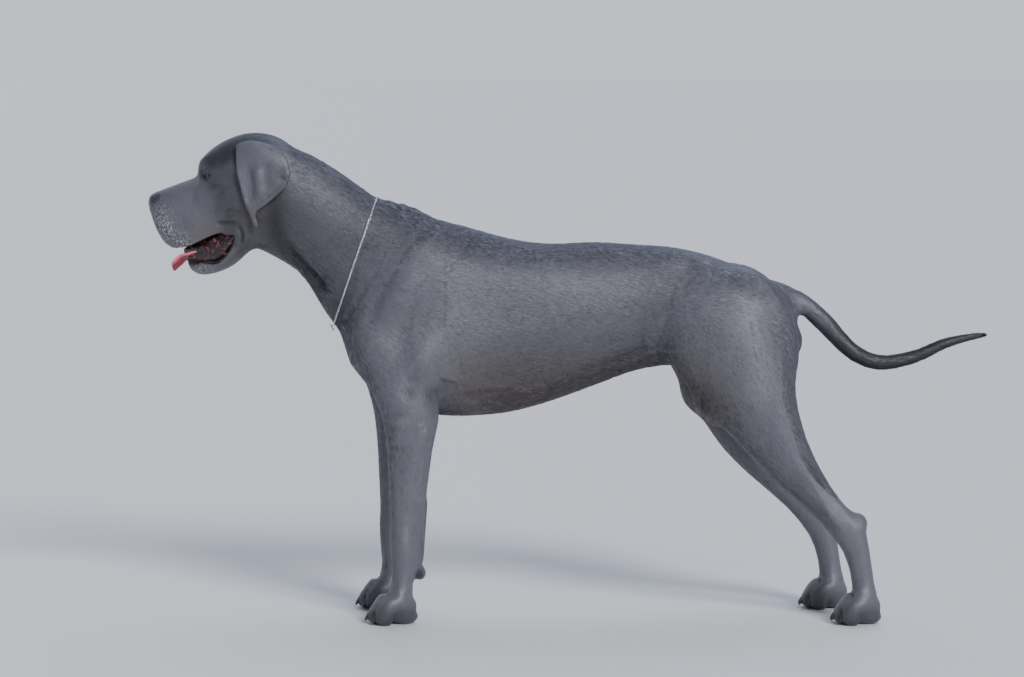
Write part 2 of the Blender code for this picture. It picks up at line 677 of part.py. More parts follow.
flesh = [trunk(), neck(), tail(), under_tail(), lower_jaw()[0]] + upper_head()
for side in (-1, 1):
    flesh += fore_leg(side) + hind_leg(side)
body = fuse(flesh, SKIN_VOXEL, softness, SKIN_SMOOTHING, SKIN_TRIANGLES)


def lowest_under(side, fore):
    """Height of the lowest point of one paw."""
    return min(v.co.z for v in body.data.vertices if v.co.y * side > 0 and (v.co.x < 0) == fore)


floor = max(lowest_under(side, fore) for side in (-1, 1) for fore in (True, False)) + SOLE_DEPTH
body_standing = block([((0, 0, floor), (0, 0, -1))])
boolean(body, body_standing, "INTERSECT")
bpy.data.objects.remove(body_standing)

# Openings of the head: mouth, eye slits with the room for the eyes, nostrils and ear holes

for cutter in mouth_cutters():
    carve(body, cutter)


def head_ball(place, radii, turn=(0.0, 0.0, 0.0), segments=12):
    return on_head([ball(place, radii, turn, segments)])[0]


eye_x, eye_y, eye_z = EYE_PLACE
for side in (-1, 1):
    carve(body, head_ball((eye_x, side * eye_y, eye_z), (EYE_RADIUS + GAP * 2,) * 3, segments=EYE_SEGMENTS))
    carve(body, head_ball((eye_x - 0.009, side * (eye_y + 0.009), eye_z), (0.0105, 0.013, 0.0052),
                          (0, 10, side * 45)))
    carve(body, head_ball((-0.001, side * 0.0105, -0.019), (0.0085, 0.0042, 0.0052), (0, 0, side * -28)))
    carve(body, head_ball((0.240, side * 0.062, 0.000), (0.018, 0.014, 0.016)))

# The body is parted into its nodes

def head_plane(point, normal):
    return HEAD_FRAME @ Vector(point), HEAD_FRAME.to_3x3() @ Vector(normal)


jaw = split_off(body, [head_plane((0.144, 0, 0), (1, 0, 0)),  # ahead of the corner of the mouth
                       head_plane((0, 0, -0.1385), (0, 0, 1)),  # under the lips
                       head_plane((0, 0, -0.25), (0, 0, -1))])  # above the fore legs
head = split_off(body, [((-0.556, 0, 0.84), (1, 0, -0.03))])
neck_part = split_off(body, [((-0.372, 0, 0.68), (0.83, 0, -0.56))])

TAIL_CUTS = {"tail_tip": ((0.722, 0, 0.538), (-0.93, 0, -0.36)),
             "tail_middle": ((0.598, 0, 0.518), (-0.97, 0, 0.25)),
             "tail_base": ((0.478, 0, 0.622), (-0.80, 0, 0.60))}
behind_thighs = [((0.466, 0, 0), (-1, 0, 0)), ((0, 0, 0.45), (0, 0, -1))]
tail_parts = {name: split_off(body, [cut] + behind_thighs) for name, cut in TAIL_CUTS.items()}

legs = {}
for side, word in ((-1, "left"), (1, "right")):
    legs["foreleg_" + word] = split_off(body, [((-0.34, 0, 0.505), (-0.18, 0, 1.0)),
                                               ((0, side * 0.040, 0), (0, -side, 0)),
                                               ((-0.246, 0, 0), (1, 0, 0))])
    legs["hindleg_" + word] = split_off(body, [((0.19, 0, 0.515), (-0.40, 0, 1.0)),
                                               ((0, side * 0.012, 0), (0, -side, 0)),
                                               ((0.10, 0, 0), (-1, 0, 0))])

# Loose parts of the head, kept clear of what carries them


def clear_of(part, *others):
    """Cuts a part back to leave the gap to its neighbours."""
    for other in others:
        carve(part, grown(other, GAP), "MANIFOLD")
    return largest_shell(part)


tongue_part = clear_of(tongue(), jaw, head)
eyes = {}
ears = {}
for side, word in ((-1, "left"), (1, "right")):
    eyes[word] = head_ball((eye_x, side * eye_y, eye_z), (EYE_RADIUS,) * 3, segments=EYE_SEGMENTS)
    ears[word] = clear_of(ear(side), head, neck_part)


# Chain collar: it lies round the neck from behind the nape down to the base of the throat

CHAIN_TOP = Vector((-0.382, 0.0, 0.846))
CHAIN_FOOT = Vector((-0.470, 0.0, 0.589))
CHAIN_POINTS = 72
CHAIN_SIDES = 6
CHAIN_CLEARANCE = 0.0012  # it lies on the coat, a little off the skin


def chain(around):
    """A beaded ring on the skin, found by rays from the middle of the neck in the collar's plane."""
    tree = BVHTree.FromObject(around, bpy.context.evaluated_depsgraph_get())
    middle = (CHAIN_TOP + CHAIN_FOOT) / 2
    upward = (CHAIN_TOP - CHAIN_FOOT).normalized()
    sideways = Vector((0, 1, 0))
    reach = []
    for i in range(CHAIN_POINTS):
        angle = 2 * math.pi * i / CHAIN_POINTS
        ray = upward * math.cos(angle) + sideways * math.sin(angle)
        hit = tree.ray_cast(middle + ray * 0.4, -ray)[0]
        reach.append((hit - middle).length)
    reach = [max(reach[i - 1], reach[i], reach[(i + 1) % CHAIN_POINTS]) for i in range(CHAIN_POINTS)]
    reach = [(reach[i - 1] + reach[i] + reach[(i + 1) % CHAIN_POINTS]) / 3 for i in range(CHAIN_POINTS)]
    forward = sideways.cross(upward)
    work = bmesh.new()
    rings = []
    for i in range(CHAIN_POINTS):
        angle = 2 * math.pi * i / CHAIN_POINTS
        ray = upward * math.cos(angle) + sideways * math.sin(angle)
        bead = CHAIN_RADIUS * (1.0 if i % 2 else 0.72)
        centre = middle + ray * (reach[i] + CHAIN_RADIUS + CHAIN_CLEARANCE)
        rings.append([work.verts.new(centre + (ray * math.cos(a) + forward * math.sin(a)) * bead)
                      for a in (2 * math.pi * k / CHAIN_SIDES for k in range(CHAIN_SIDES))])
    for i in range(CHAIN_POINTS):
        ring, after = rings[i], rings[(i + 1) % CHAIN_POINTS]
        for k in range(CHAIN_SIDES):
            j = (k + 1) % CHAIN_SIDES
            work.faces.new((ring[k], ring[j], after[j], after[k]))
    bmesh.ops.recalc_face_normals(work, faces=work.faces)
    mesh = bpy.data.meshes.new("chain")
    work.to_mesh(mesh)
    work.free()
    return new_object("chain", mesh)


collar = chain(neck_part)


# Naming, and placing with the middle of the box of the whole dog over the origin

finish(head, "head", coat)
finish(jaw, "jaw", coat)
finish(tongue_part, "tongue", tongue_flesh)
for word in ("left", "right"):
    finish(eyes[word], "eye_" + word, eye_gloss)
    finish(ears[word], "ear_" + word, coat)
finish(neck_part, "neck", coat)
finish(collar, "chain_collar", chain_steel)
finish(body, "torso", coat)
for name, leg in legs.items():
    finish(leg, name, coat)
for name, length in tail_parts.items():
    finish(length, name, tail_coat)

for leftover in [thing for thing in bpy.data.objects if thing.name not in dog.objects]:
    bpy.data.objects.remove(leftover)

corners = np.array([vert.co for thing in dog.objects for vert in thing.data.vertices])
low, high = corners.min(axis=0), corners.max(axis=0)
shift = Matrix.Translation((-(low[0] + high[0]) / 2, -(low[1] + high[1]) / 2, -low[2]))
for thing in dog.objects:
    thing.data.transform(shift)
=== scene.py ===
"""Looks of the life-size great dane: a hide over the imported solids, eyes, mouth, claws, collar and coat."""

import math

import bpy
import numpy as np
from mathutils import Matrix, Vector
from mathutils.bvhtree import BVHTree
from mathutils.kdtree import KDTree


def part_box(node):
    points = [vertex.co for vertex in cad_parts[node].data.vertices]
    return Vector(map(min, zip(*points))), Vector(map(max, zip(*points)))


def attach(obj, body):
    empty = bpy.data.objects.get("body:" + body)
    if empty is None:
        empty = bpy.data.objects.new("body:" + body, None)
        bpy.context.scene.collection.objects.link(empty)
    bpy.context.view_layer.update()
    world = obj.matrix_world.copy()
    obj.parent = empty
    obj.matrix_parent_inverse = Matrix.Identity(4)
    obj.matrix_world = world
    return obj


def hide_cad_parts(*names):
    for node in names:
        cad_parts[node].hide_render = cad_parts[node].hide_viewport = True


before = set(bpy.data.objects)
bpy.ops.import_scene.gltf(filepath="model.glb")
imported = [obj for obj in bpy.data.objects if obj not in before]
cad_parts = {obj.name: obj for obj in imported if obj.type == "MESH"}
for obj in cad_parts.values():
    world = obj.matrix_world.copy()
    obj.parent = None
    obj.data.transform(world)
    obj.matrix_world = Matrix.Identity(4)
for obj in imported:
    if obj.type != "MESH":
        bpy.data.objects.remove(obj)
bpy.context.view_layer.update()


# Hide
# The skin of the whole dog in one piece, close over bone, tendon and muscle. It starts as the flesh of the
# solids, joined and remeshed as finely as a lip needs, and is then modelled by strokes, as clay is.

FLESH = [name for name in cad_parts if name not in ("tongue", "eye_left", "eye_right", "chain_collar")]
SIDES = (-1, 1)  # left, right
CLOSING = 0.0004  # the nodes swell by this much, which closes the gaps between them
WELD = 0.00002  # corners closer than this are one
VOXEL = 0.0022
SMOOTHING = 160  # rounds that melt the joints between the nodes
EYE_RADIUS = 0.0125
LID_BALL = 0.0162  # fills each socket, so that the lids can be cut anew
HIDE_TRIANGLES = 192000
HEAD_PITCH = -21.0  # degrees
HEAD_TURN = -9.0
EYE_BEHIND_NOSE = 0.145  # along the head, from the nose tip


def pick(*things):
    """Selects these objects alone, the first of them active."""
    bpy.ops.object.select_all(action="DESELECT")
    for thing in things:
        thing.select_set(True)
    bpy.context.view_layer.objects.active = things[0]


def apply_all(thing):
    pick(thing)
    for modifier in list(thing.modifiers):
        bpy.ops.object.modifier_apply(modifier=modifier.name)


def added(name, data):
    """A new object in the scene."""
    made = bpy.data.objects.new(name, data)
    bpy.context.scene.collection.objects.link(made)
    return made


def edit_all(thing, step, settings=({},)):
    """Runs one step of edit mode on the whole mesh, once for each of the settings."""
    pick(thing)
    bpy.ops.object.mode_set(mode="EDIT")
    for each in settings:
        bpy.ops.mesh.select_all(action="SELECT")
        step(**each)
    bpy.ops.object.mode_set(mode="OBJECT")


def points_of(thing, field="co"):
    """The corners of a mesh, or another vector that each of them has."""
    flat = np.empty(len(thing.data.vertices) * 3, np.float32)
    thing.data.vertices.foreach_get(field, flat)
    return flat.reshape(-1, 3).astype(float)


def normals_of(thing):
    return points_of(thing, "normal")


def faces_of(thing):
    return [list(face.vertices) for face in thing.data.polygons]


def set_points(thing, points):
    thing.data.vertices.foreach_set("co", points.astype(np.float32).ravel())
    thing.data.update()


def middle(name):
    low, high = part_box(name)
    return (low + high) / 2


# the head's own frame: x runs back from the nose tip, y to the dog's right, z up from the bridge of the nose
HEAD = Matrix.Rotation(math.radians(HEAD_TURN), 4, "Z") @ Matrix.Rotation(math.radians(HEAD_PITCH), 4, "Y")
eyes_middle = (middle("eye_left") + middle("eye_right")) / 2
HEAD.translation = eyes_middle - HEAD.to_3x3() @ Vector((EYE_BEHIND_NOSE, 0, 0))
EYE_SIDE = (middle("eye_right") - middle("eye_left")).length / 2
HEAD_TURNED = np.array(HEAD.to_3x3())
HEAD_PLACE = np.array(HEAD.translation)


def in_head(points):
    """Points of the row frame in the head's frame."""
    return (points - HEAD_PLACE) @ HEAD_TURNED


def from_head(points):
    return np.asarray(points, float) @ HEAD_TURNED.T + HEAD_PLACE


def head_ball(place, radii):
    """A ball in the head's frame."""
    bpy.ops.mesh.primitive_uv_sphere_add(segments=32, ring_count=20, radius=1.0, location=(0, 0, 0))
    made = bpy.context.object
    set_points(made, from_head(points_of(made) * radii + place))
    return made


def joined_flesh():
    copies = []
    for name in FLESH:
        copies.append(added("flesh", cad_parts[name].data.copy()))
    pick(*copies)
    bpy.ops.object.join()
    flesh = bpy.context.object
    edit_all(flesh, bpy.ops.mesh.remove_doubles, [{"threshold": WELD}])
    set_points(flesh, points_of(flesh) + normals_of(flesh) * CLOSING)
    plugs = []
    for side in SIDES:
        plugs.append(head_ball((EYE_BEHIND_NOSE, side * EYE_SIDE, 0), (LID_BALL,) * 3))
        plugs.append(head_ball((0.009, side * 0.0105, -0.018), (0.0095, 0.008, 0.010)))  # nostril
        plugs.append(head_ball((0.2035, side * 0.0665, -0.116), (0.0078, 0.0042, 0.020)))  # tip of the ear
    pick(flesh, *plugs)
    bpy.ops.object.join()
    return flesh


def paint_group(thing, name, weights):
    """A vertex group from an array of weights, in steps of a twentieth."""
    group = thing.vertex_groups.new(name=name)
    steps = np.round(np.clip(weights, 0, 1) * 20).astype(int)
    for step in np.unique(steps):
        group.add(np.nonzero(steps == step)[0].tolist(), step / 20, "REPLACE")
    return group.name


def between(value, low, high):
    """0 below low, 1 above high, and a soft run between them."""
    t = np.clip((value - low) / (high - low), 0.0, 1.0)
    return t * t * (3 - 2 * t)


hide = joined_flesh()
hide.name = "hide"
hide.data.name = "hide"
remesh = hide.modifiers.new("remesh", "REMESH")
remesh.mode = "VOXEL"
remesh.voxel_size = VOXEL
apply_all(hide)

place = points_of(hide)
x, y, z = place.T
head_x, head_y, head_z = in_head(place).T
flow = np.ones(len(place))  # how freely the clay flows smooth, from 0 to 1
skull_flow = np.where((head_z < -0.09) | (head_x < 0.035) | (np.abs(head_y) > 0.060), 0.17, 0.30)
flow = np.minimum(flow, skull_flow + (1 - skull_flow) * between(x, -0.64, -0.50))  # little on the head
flow = np.minimum(flow, 0.08 + 0.92 * between(z, 0.09, 0.40))  # and on the paws
flow = np.where((x > 0.46) & (z > 0.45), np.minimum(flow, 0.10), flow)  # and on the tail
smooth = hide.modifiers.new("smooth", "SMOOTH")
smooth.iterations = SMOOTHING
smooth.vertex_group = paint_group(hide, "flow", flow)
apply_all(hide)
hide.vertex_groups.clear()

place = points_of(hide)
normal = normals_of(hide)
RIGHT_FORE_LEAD = 0.026  # the right fore leg stands this far ahead of the left
RIGHT_HIND_LEAD = 0.050


def lead(px, pz):
    """How far ahead of its left twin a place on the right side lies."""
    if px < -0.1:
        return RIGHT_FORE_LEAD * np.interp(pz, (0.40, 0.62), (1.0, 0.0))
    return RIGHT_HIND_LEAD * np.interp(pz, (0.32, 0.40, 0.45, 0.55), (1.0, 0.72, 0.34, 0.0))


def outermost(flat, across, spot, side):
    """Index of the skin's vertex furthest out to one side at a place of the side view."""
    for reach in (0.003, 0.006, 0.012, 0.024, 0.05):
        near = np.nonzero((np.abs(flat[:, 0] - spot[0]) < reach) & (np.abs(flat[:, 1] - spot[1]) < reach))[0]
        if len(near):
            return near[np.argmax(across[near] * side)]
    raise ValueError(f"no skin near {spot}")


def smoothed(points, step=0.006):
    """A smooth curve through points, in short steps."""
    if len(points) < 3:
        count = max(2, int(np.linalg.norm(points[-1] - points[0]) / step) + 1)
        return np.array([points[0] + (points[-1] - points[0]) * t for t in np.linspace(0, 1, count)])
    rows = np.array([points[0], *points, points[-1]])
    made = []
    for before, start, end, after in zip(rows, rows[1:], rows[2:], rows[3:]):
        count = max(1, int(np.linalg.norm(end - start) / step))
        for t in (k / count for k in range(count)):
            made.append(0.5
                        * (2 * start + (end - before) * t + (2 * before - 5 * start + 4 * end - after) * t * t
                               + (3 * start - before - 3 * end + after) * t ** 3))
    made.append(rows[-1])
    return np.array(made)


def run_along(line):
    """How far along a line of points each of them lies."""
    return np.concatenate(([0.0], np.cumsum(np.linalg.norm(np.diff(line, axis=0), axis=1))))


def distance_to(line, spots):
    """Distance of each spot to a line of points, and how far along the line it lies, from 0 to 1."""
    nearest = np.full(len(spots), np.inf)
    along = np.zeros(len(spots))
    run = run_along(line)
    for i, (start, end) in enumerate(zip(line, line[1:])):
        step = end - start
        t = np.clip((spots - start) @ step / max(step @ step, 1e-12), 0, 1)
        gap = np.linalg.norm(spots - start - t[:, None] * step, axis=1)
        closer = gap < nearest
        nearest[closer] = gap[closer]
        along[closer] = (run[i] + t[closer] * (run[i + 1] - run[i])) / run[-1]
    return nearest, along


def stroke(line, push, height, width, fade=0.25, both_faces=False):
    """Pushes the clay by height along a line, whose ends fade; push gives the direction along it."""
    low, high = line.min(axis=0) - 2.4 * width, line.max(axis=0) + 2.4 * width
    near = np.nonzero(((place > low) & (place < high)).all(axis=1))[0]
    if len(line) == 1:
        gap, along = np.linalg.norm(place[near] - line[0], axis=1), np.full(len(near), 0.5)
    else:
        gap, along = distance_to(line, place[near])
    strength = np.exp(-(gap / width) ** 2)
    if len(line) > 1 and fade:
        strength *= between(along, -0.02, fade) * between(1 - along, -0.02, fade)
    knots = np.linspace(0, 1, len(push))
    way = np.stack([np.interp(along, knots, push[:, k]) for k in range(3)], axis=1)
    way /= np.linalg.norm(way, axis=1)[:, None] + 1e-9
    if not both_faces:
        strength *= between((normal[near] * way).sum(axis=1), -0.1, 0.5)
    place[near] += way * (height * strength)[:, None]


def metres(millimetres):
    return round(millimetres / 1000, 7)


def model(rows, heads=False, both_faces=False):
    """Strokes on both sides of the dog: rows of height, width and places in the side view, in millimetres."""
    inside = in_head(place) if heads else place
    flat = inside[:, [0, 2]].copy()
    across = inside[:, 1].copy()
    for height, width, *spots in rows:
        for side in SIDES:
            at = []
            for spot in spots:
                px, pz = (metres(value) for value in spot)
                px = px if heads or side < 0 else px - lead(px, pz)
                at.append(outermost(flat, across, (px, pz), side))
            push = normal[at]
            push = push if len(push) > 1 else np.repeat(push, 2, axis=0)
            line = smoothed(place[at]) if len(at) > 1 else place[at]
            stroke(line, push, metres(height), metres(width), both_faces=both_faces)


# muscles, bones and hollows of the body, as rows of height, width, and places along the side
model((
    (-5, 15, (-275, 790), (-303, 762), (-354, 687), (-390, 619), (-408, 569)),
    (-3, 13, (-356, 805), (-410, 742), (-430, 668)),
    (-4, 30, (-195, 751)),
    (4, 22, (-255, 768)),
    (4.2, 13, (-255, 763), (-280, 657), (-323, 549)),
    (-3, 16, (-225, 735), (-240, 650), (-262, 590)),
    (4, 26, (-262, 600), (-285, 545), (-300, 500)),
    (-8.5, 7.5, (-566, 756), (-533, 717), (-495, 678), (-465, 641)),
    (3, 10, (-548, 760), (-515, 722), (-478, 683)),
    (-4, 12, (-450, 569), (-432, 528), (-403, 467)),
    (-4.5, 14, (-303, 504), (-331, 449)),
    (4.5, 20, (-340, 425), (-337, 350)),
    (-2.6, 8, (-298, 340), (-300, 280), (-302, 206), (-305, 130)),
    (1.8, 7, (-352, 330), (-346, 260), (-341, 200)),
    (2.2, 16, (-330, 165)),
    (5, 12, (-261, 444)),
    (-3.2, 17, (-227, 542), (-155, 559), (-67, 573), (8, 601), (61, 623)),
    (-7, 16, (-237, 491), (-255, 456)),
    (-6, 30, (204, 577)),
    (-4, 22, (151, 555)),
    (4.2, 10, (47, 496), (122, 519), (197, 542), (242, 550)),
    (-4, 10, (54, 513), (142, 544), (196, 567)),
    (6.5, 18, (273, 714)),
    (-4.5, 26, (224, 700)),
    (-3.2, 16, (300, 690), (350, 665), (400, 620)),
    (3.5, 22, (300, 640), (312, 560), (318, 500)),
    (-3.5, 14, (352, 640), (368, 560), (380, 480), (400, 425)),
    (3, 16, (410, 590), (420, 520), (428, 440)),
    (-3.5, 13, (266, 564), (270, 475), (311, 389)),
    (3.5, 16, (285, 446)),
    (3, 14, (349, 400), (400, 330), (445, 270)),
    (-6, 9, (448, 352), (497, 281), (543, 221)),
    (2.4, 7, (486, 362), (534, 282), (574, 219)),
    (3, 10, (586, 196)),
    (-2.4, 7, (560, 175), (574, 130), (582, 80)),
    (1.6, 6, (595, 170), (600, 120), (600, 80)),
))
RIBS = 8
model([(0.9, 9, (-190 + 31 * i, 700), (-165 + 33 * i, 640), (-150 + 33 * i, 590)) for i in range(RIBS)])

# wrinkles, veins and hollows of the head, in its own frame
model((
    (-5.2, 3.6, (141.7, -78.8), (162.2, -85), (186.9, -99.5)),
    (1.4, 3.4, (139, -83.5), (161, -89.5), (184, -102)),
    (-5.4, 3.6, (137.7, -87.1), (160.3, -94), (180.7, -103.6)),
    (1.4, 3.4, (128, -93.5), (151, -98.5), (173, -108.5)),
    (-5.4, 3.8, (117.6, -100.3), (141.1, -103.5), (164.6, -112.9)),
    (-4.5, 5, (166.5, -115), (162.3, -137.9), (151.2, -155.7)),
    (3.5, 5, (175, -108), (173, -135), (163, -156)),
    (-3, 12, (149, -26.5), (162, -45)),
    (1.6, 6, (140, -17), (157, -20), (180, -27)),
    (2.2, 12, (169.1, -39.9)),
    (-1.4, 18, (190, 15.5), (175, 26)),
    (-1.8, 10, (110, -15), (90, -35)),
    (2, 14, (60, -70), (90, -85)),
    (-1.4, 5, (85, -108), (110, -100), (135, -92)),
    (2.8, 4.2, (18, -112), (30, -123), (51, -127), (101, -124), (134, -121)),
    (3, 4.2, (44, -145), (61.5, -156), (78, -166), (96, -173.5), (120, -164), (140, -148)),
), heads=True)

# the flap of each ear keeps its thickness: a long hollow, a raised rim in front and below, a curled corner
model((
    (-4.8, 12, (236, 0), (226, -35), (213, -88)),
    (3.4, 11, (248, -15), (240, -50), (226, -88)),
    (-3, 13, (270, -10), (262, -45), (250, -75)),
    (3, 4, (212, 10), (204, -40), (200, -85), (202, -110)),
    (3.4, 4, (302, -68), (280, -81), (250, -92), (215, -102)),
    (2, 5, (309, -5), (311, -35)),
    (6, 12, (305, -56)),
    (-2.6, 8, (293, -50), (287, -66)),
), heads=True, both_faces=True)

NAPE_RIPPLES = ((-0.354, 0.0026), (-0.331, 0.0030), (-0.305, 0.0030), (-0.279, 0.0022))  # place, height
RIPPLE_WIDTH = 0.0065
RIPPLE_SPAN = (-0.036, -0.018, 0.0, 0.018, 0.036)
for ripple_x, height in NAPE_RIPPLES:
    at = [outermost(place[:, :2], place[:, 2], (ripple_x + abs(across) * 0.3, across),
                    1) for across in RIPPLE_SPAN]
    stroke(smoothed(place[at]), normal[at], height, RIPPLE_WIDTH)

TEAT = (0.0080, 0.0050)  # height, width
TEATS = ((-0.186, 0.034), (-0.096, 0.044), (0.010, 0.047), (0.100, 0.044), (0.170, 0.034))
for teat_x, teat_y in TEATS:
    for side in SIDES:
        at = [outermost(place[:, :2], place[:, 2], (teat_x, side * teat_y), -1)]
        stroke(place[at], normal[at].repeat(2, axis=0), *TEAT)

# paws: x of the middle of the sole, side, length and width, and then the grooves between the toes
PAWS = {"fore_left": (-0.3501, -1, 0.089, 0.112, 0.088), "fore_right": (-0.3761, 1, 0.089, 0.112, 0.088),
        "hind_left": (0.5739, -1, 0.090, 0.106, 0.082), "hind_right": (0.5239, 1, 0.090, 0.106, 0.082)}
TOE_SLOTS = (-1.5, -0.5, 0.5, 1.5)
TOE_GROOVES = (-1.0, 0.0, 1.0)
GROOVE = (-0.0062, 0.0046)  # height, width
KNUCKLE = (0.0042, 0.0085)
FOOT_TOP = 0.075


def toe_tip(paw, slot):
    """Where the front of a toe is: the outer two stand further back."""
    paw_x, side, track, length, width = PAWS[paw]
    return paw_x - length * (0.32 if abs(slot) > 1 else 0.46), side * track + slot * width / 4


for paw, (paw_x, side, track, length, width) in PAWS.items():
    for slot in TOE_GROOVES:
        tip_x = (toe_tip(paw, slot - 0.5)[0] + toe_tip(paw, slot + 0.5)[0]) / 2 + 0.016
        spots = [(paw_x + length * 0.10, side * track + slot * width * 0.18),
                 (paw_x - length * 0.10, side * track + slot * width * 0.22),
                 (tip_x, side * track + slot * width * 0.25)]
        at = [outermost(place[:, :2], place[:, 2] * (place[:, 2] < FOOT_TOP), spot, 1) for spot in spots]
        stroke(smoothed(place[at]), normal[at], *GROOVE, fade=0.4)
    for slot in TOE_SLOTS:
        tip_x, tip_y = toe_tip(paw, slot)
        claw = (np.abs(place[:, 1] - tip_y) < 0.0085) & (place[:, 2] < 0.032)
        claw &= np.abs(place[:, 0] - tip_x) < 0.02
        place[claw, 0] = np.maximum(place[claw, 0], tip_x + 0.0035)
        knuckle = (tip_x + 0.028, side * track + slot * width * 0.21)
        at = [outermost(place[:, :2], place[:, 2] * (place[:, 2] < FOOT_TOP), knuckle, 1)]
        stroke(place[at], normal[at].repeat(2, axis=0), *KNUCKLE)

set_points(hide, place)
smooth = hide.modifiers.new("smooth", "SMOOTH")
smooth.iterations = 2
apply_all(hide)

# finer clay round the eyes and the nose, for the lids and the nostrils
EYE_PATCH = 0.021
NOSE_PATCH = 0.032


def refine(thing, wanted, cuts):
    """Divides the faces that have wanted corners."""
    pick(thing)
    bpy.ops.object.mode_set(mode="EDIT")
    bpy.ops.mesh.select_mode(type="VERT")
    bpy.ops.mesh.select_all(action="DESELECT")
    bpy.ops.object.mode_set(mode="OBJECT")
    thing.data.vertices.foreach_set("select", wanted(points_of(thing)))
    bpy.ops.object.mode_set(mode="EDIT")
    bpy.ops.mesh.subdivide(number_cuts=cuts, smoothness=0.0)
    bpy.ops.object.mode_set(mode="OBJECT")


EYE_CENTRES = [from_head([(EYE_BEHIND_NOSE, side * EYE_SIDE, 0)])[0] for side in SIDES]
refine(hide, lambda spots: np.min([np.linalg.norm(spots - centre, axis=1) for centre in EYE_CENTRES], axis=0)
       < EYE_PATCH, 3)
refine(hide, lambda spots: np.linalg.norm(in_head(spots) - (0.004, 0, -0.018), axis=1) < NOSE_PATCH, 1)
place = points_of(hide)

# lids: the clay is pushed behind the eyeball inside an almond opening, and hugs the eyeball round it
LID_HALF = 0.0112  # half the length of the opening
LID_TOP = 0.0052
LID_BOTTOM = 0.0062  # the lower lid hangs a little
LID_RIM = 0.0015  # how thick the lids are at their rims
GAZE = math.radians(48)  # how far each eye looks outwards from straight ahead


def eye_axes(side):
    """Forward, backwards along the opening, and upwards, for one eye."""
    forward = HEAD_TURNED @ (-math.cos(GAZE), side * math.sin(GAZE), 0)
    return forward, HEAD_TURNED @ (math.sin(GAZE), side * math.cos(GAZE), 0), HEAD_TURNED @ (0.0, 0.0, 1.0)


def lid_opening(spots, side):
    """How far inside the opening of one eye each spot is, negative outside, and how far out it lies."""
    forward, back, up = eye_axes(side)
    ray = spots - EYE_CENTRES[SIDES.index(side)]
    out = np.linalg.norm(ray, axis=1)
    u, v = ray @ back / out * EYE_RADIUS, ray @ up / out * EYE_RADIUS + 0.12 * (ray @ back / out * EYE_RADIUS)
    curve = np.clip(1 - (u / LID_HALF) ** 2, 0, 1)
    inside = np.minimum(LID_TOP * curve ** 0.75 - v, v + LID_BOTTOM * curve ** 0.65)
    inside = np.minimum(inside, LID_HALF - np.abs(u))
    return np.where(ray @ forward > 0, inside, -EYE_RADIUS), out


for side in SIDES:
    inside, out = lid_opening(place, side)
    near = out < EYE_PATCH
    beyond = np.maximum(-inside, 0)
    lid = EYE_RADIUS + LID_RIM + 0.42 * beyond - 0.0011 * np.exp(-((beyond - 0.0042) / 0.0011) ** 2)
    share = between(beyond, 0.0110, 0.0050)
    wanted = np.where(inside > 0, EYE_RADIUS - 0.0020, out + (lid - out) * share)
    centre = EYE_CENTRES[SIDES.index(side)]
    ray = (place[near] - centre) / out[near, None]
    place[near] = centre + ray * wanted[near, None]

# nostrils: a comma-shaped pit on each side of the nose, with a slit that runs out and back
head_place = in_head(place)
for side in SIDES:
    sunk = np.zeros(len(place))
    for pit_y, pit_z, radius, depth in ((0.0100, -0.0150, 0.0046, 0.0100), (0.0138, -0.0185, 0.0036, 0.0070),
                                        (0.0172, -0.0205, 0.0026, 0.0040)):
        gap = np.hypot(head_place[:, 1] - side * pit_y, head_place[:, 2] - pit_z) / radius
        sunk = np.maximum(sunk, depth * between(gap, 1.25, 0.55))
        rim = 0.0010 * np.exp(-((gap - 1.45) / 0.28) ** 2)
        sunk -= np.where(sunk < 0.0004, rim, 0)
    sunk *= head_place[:, 0] < 0.020
    head_place[:, 0] += sunk
    head_place[:, 1] -= side * sunk * 0.25
groove = np.exp(-(head_place[:, 1] / 0.0016) ** 2) * between(head_place[:, 2], -0.052, -0.044)
groove *= between(head_place[:, 2], -0.010, -0.016) * (head_place[:, 0] < 0.02)
head_place[:, 0] += 0.0022 * groove
edge = np.exp(-((head_place[:, 0] - np.interp(head_place[:, 2], (-0.029, -0.004), (0.0205, 0.0315)))
                / 0.0018) ** 2)
edge *= between(head_place[:, 2], -0.036, -0.030) * (head_place[:, 2] < 0.02)
head_place[:, 1] *= 1 - 0.05 * edge
place = from_head(head_place)
set_points(hide, place)

head_x, head_y, head_z = head_place.T
keep = np.where((place[:, 0] < -0.56), 0.55, 1.0)  # how freely faces may be merged
keep = np.where((head_x < 0.17) & (head_z < -0.09), 0.15, keep)  # lips
keep = np.where((head_x > 0.19) & (np.abs(head_y) > 0.062), 0.25, keep)  # ears
keep = np.where(place[:, 2] < 0.12, 0.5, keep)  # paws
for side in SIDES:
    inside, out = lid_opening(place, side)
    keep = np.where((out < EYE_PATCH) & (inside > -0.006), 0.0, keep)
keep = np.where(np.linalg.norm(head_place - (0.004, 0, -0.018), axis=1) < 0.026, 0.1, keep)
slim = hide.modifiers.new("slim", "DECIMATE")
slim.ratio = HIDE_TRIANGLES / sum(len(face.vertices) - 2 for face in hide.data.polygons)
slim.vertex_group = paint_group(hide, "keep", keep)
slim.use_collapse_triangulate = True
apply_all(hide)
hide.vertex_groups.clear()
hide.data.shade_smooth()


# Coat colour
# Short, dense, glossy blue hair over grey skin. The undercoat warms and dulls towards the belly, the head and
# tail are darker, hairs round the lips have gone white, and the nose, lips, pads and elbows are bare. The
# dark tone also holds painted shade: behind the jaw, under the eyes, in the groin and armpits, and on the
# head, neck, ribs and back.

def linear(code):
    """An sRGB hex value as a linear colour."""
    parts = [int(code[i:i + 2], 16) / 255 for i in (1, 3, 5)]
    return [c / 12.92 if c <= 0.04045 else ((c + 0.055) / 1.055) ** 2.4 for c in parts] + [1.0]


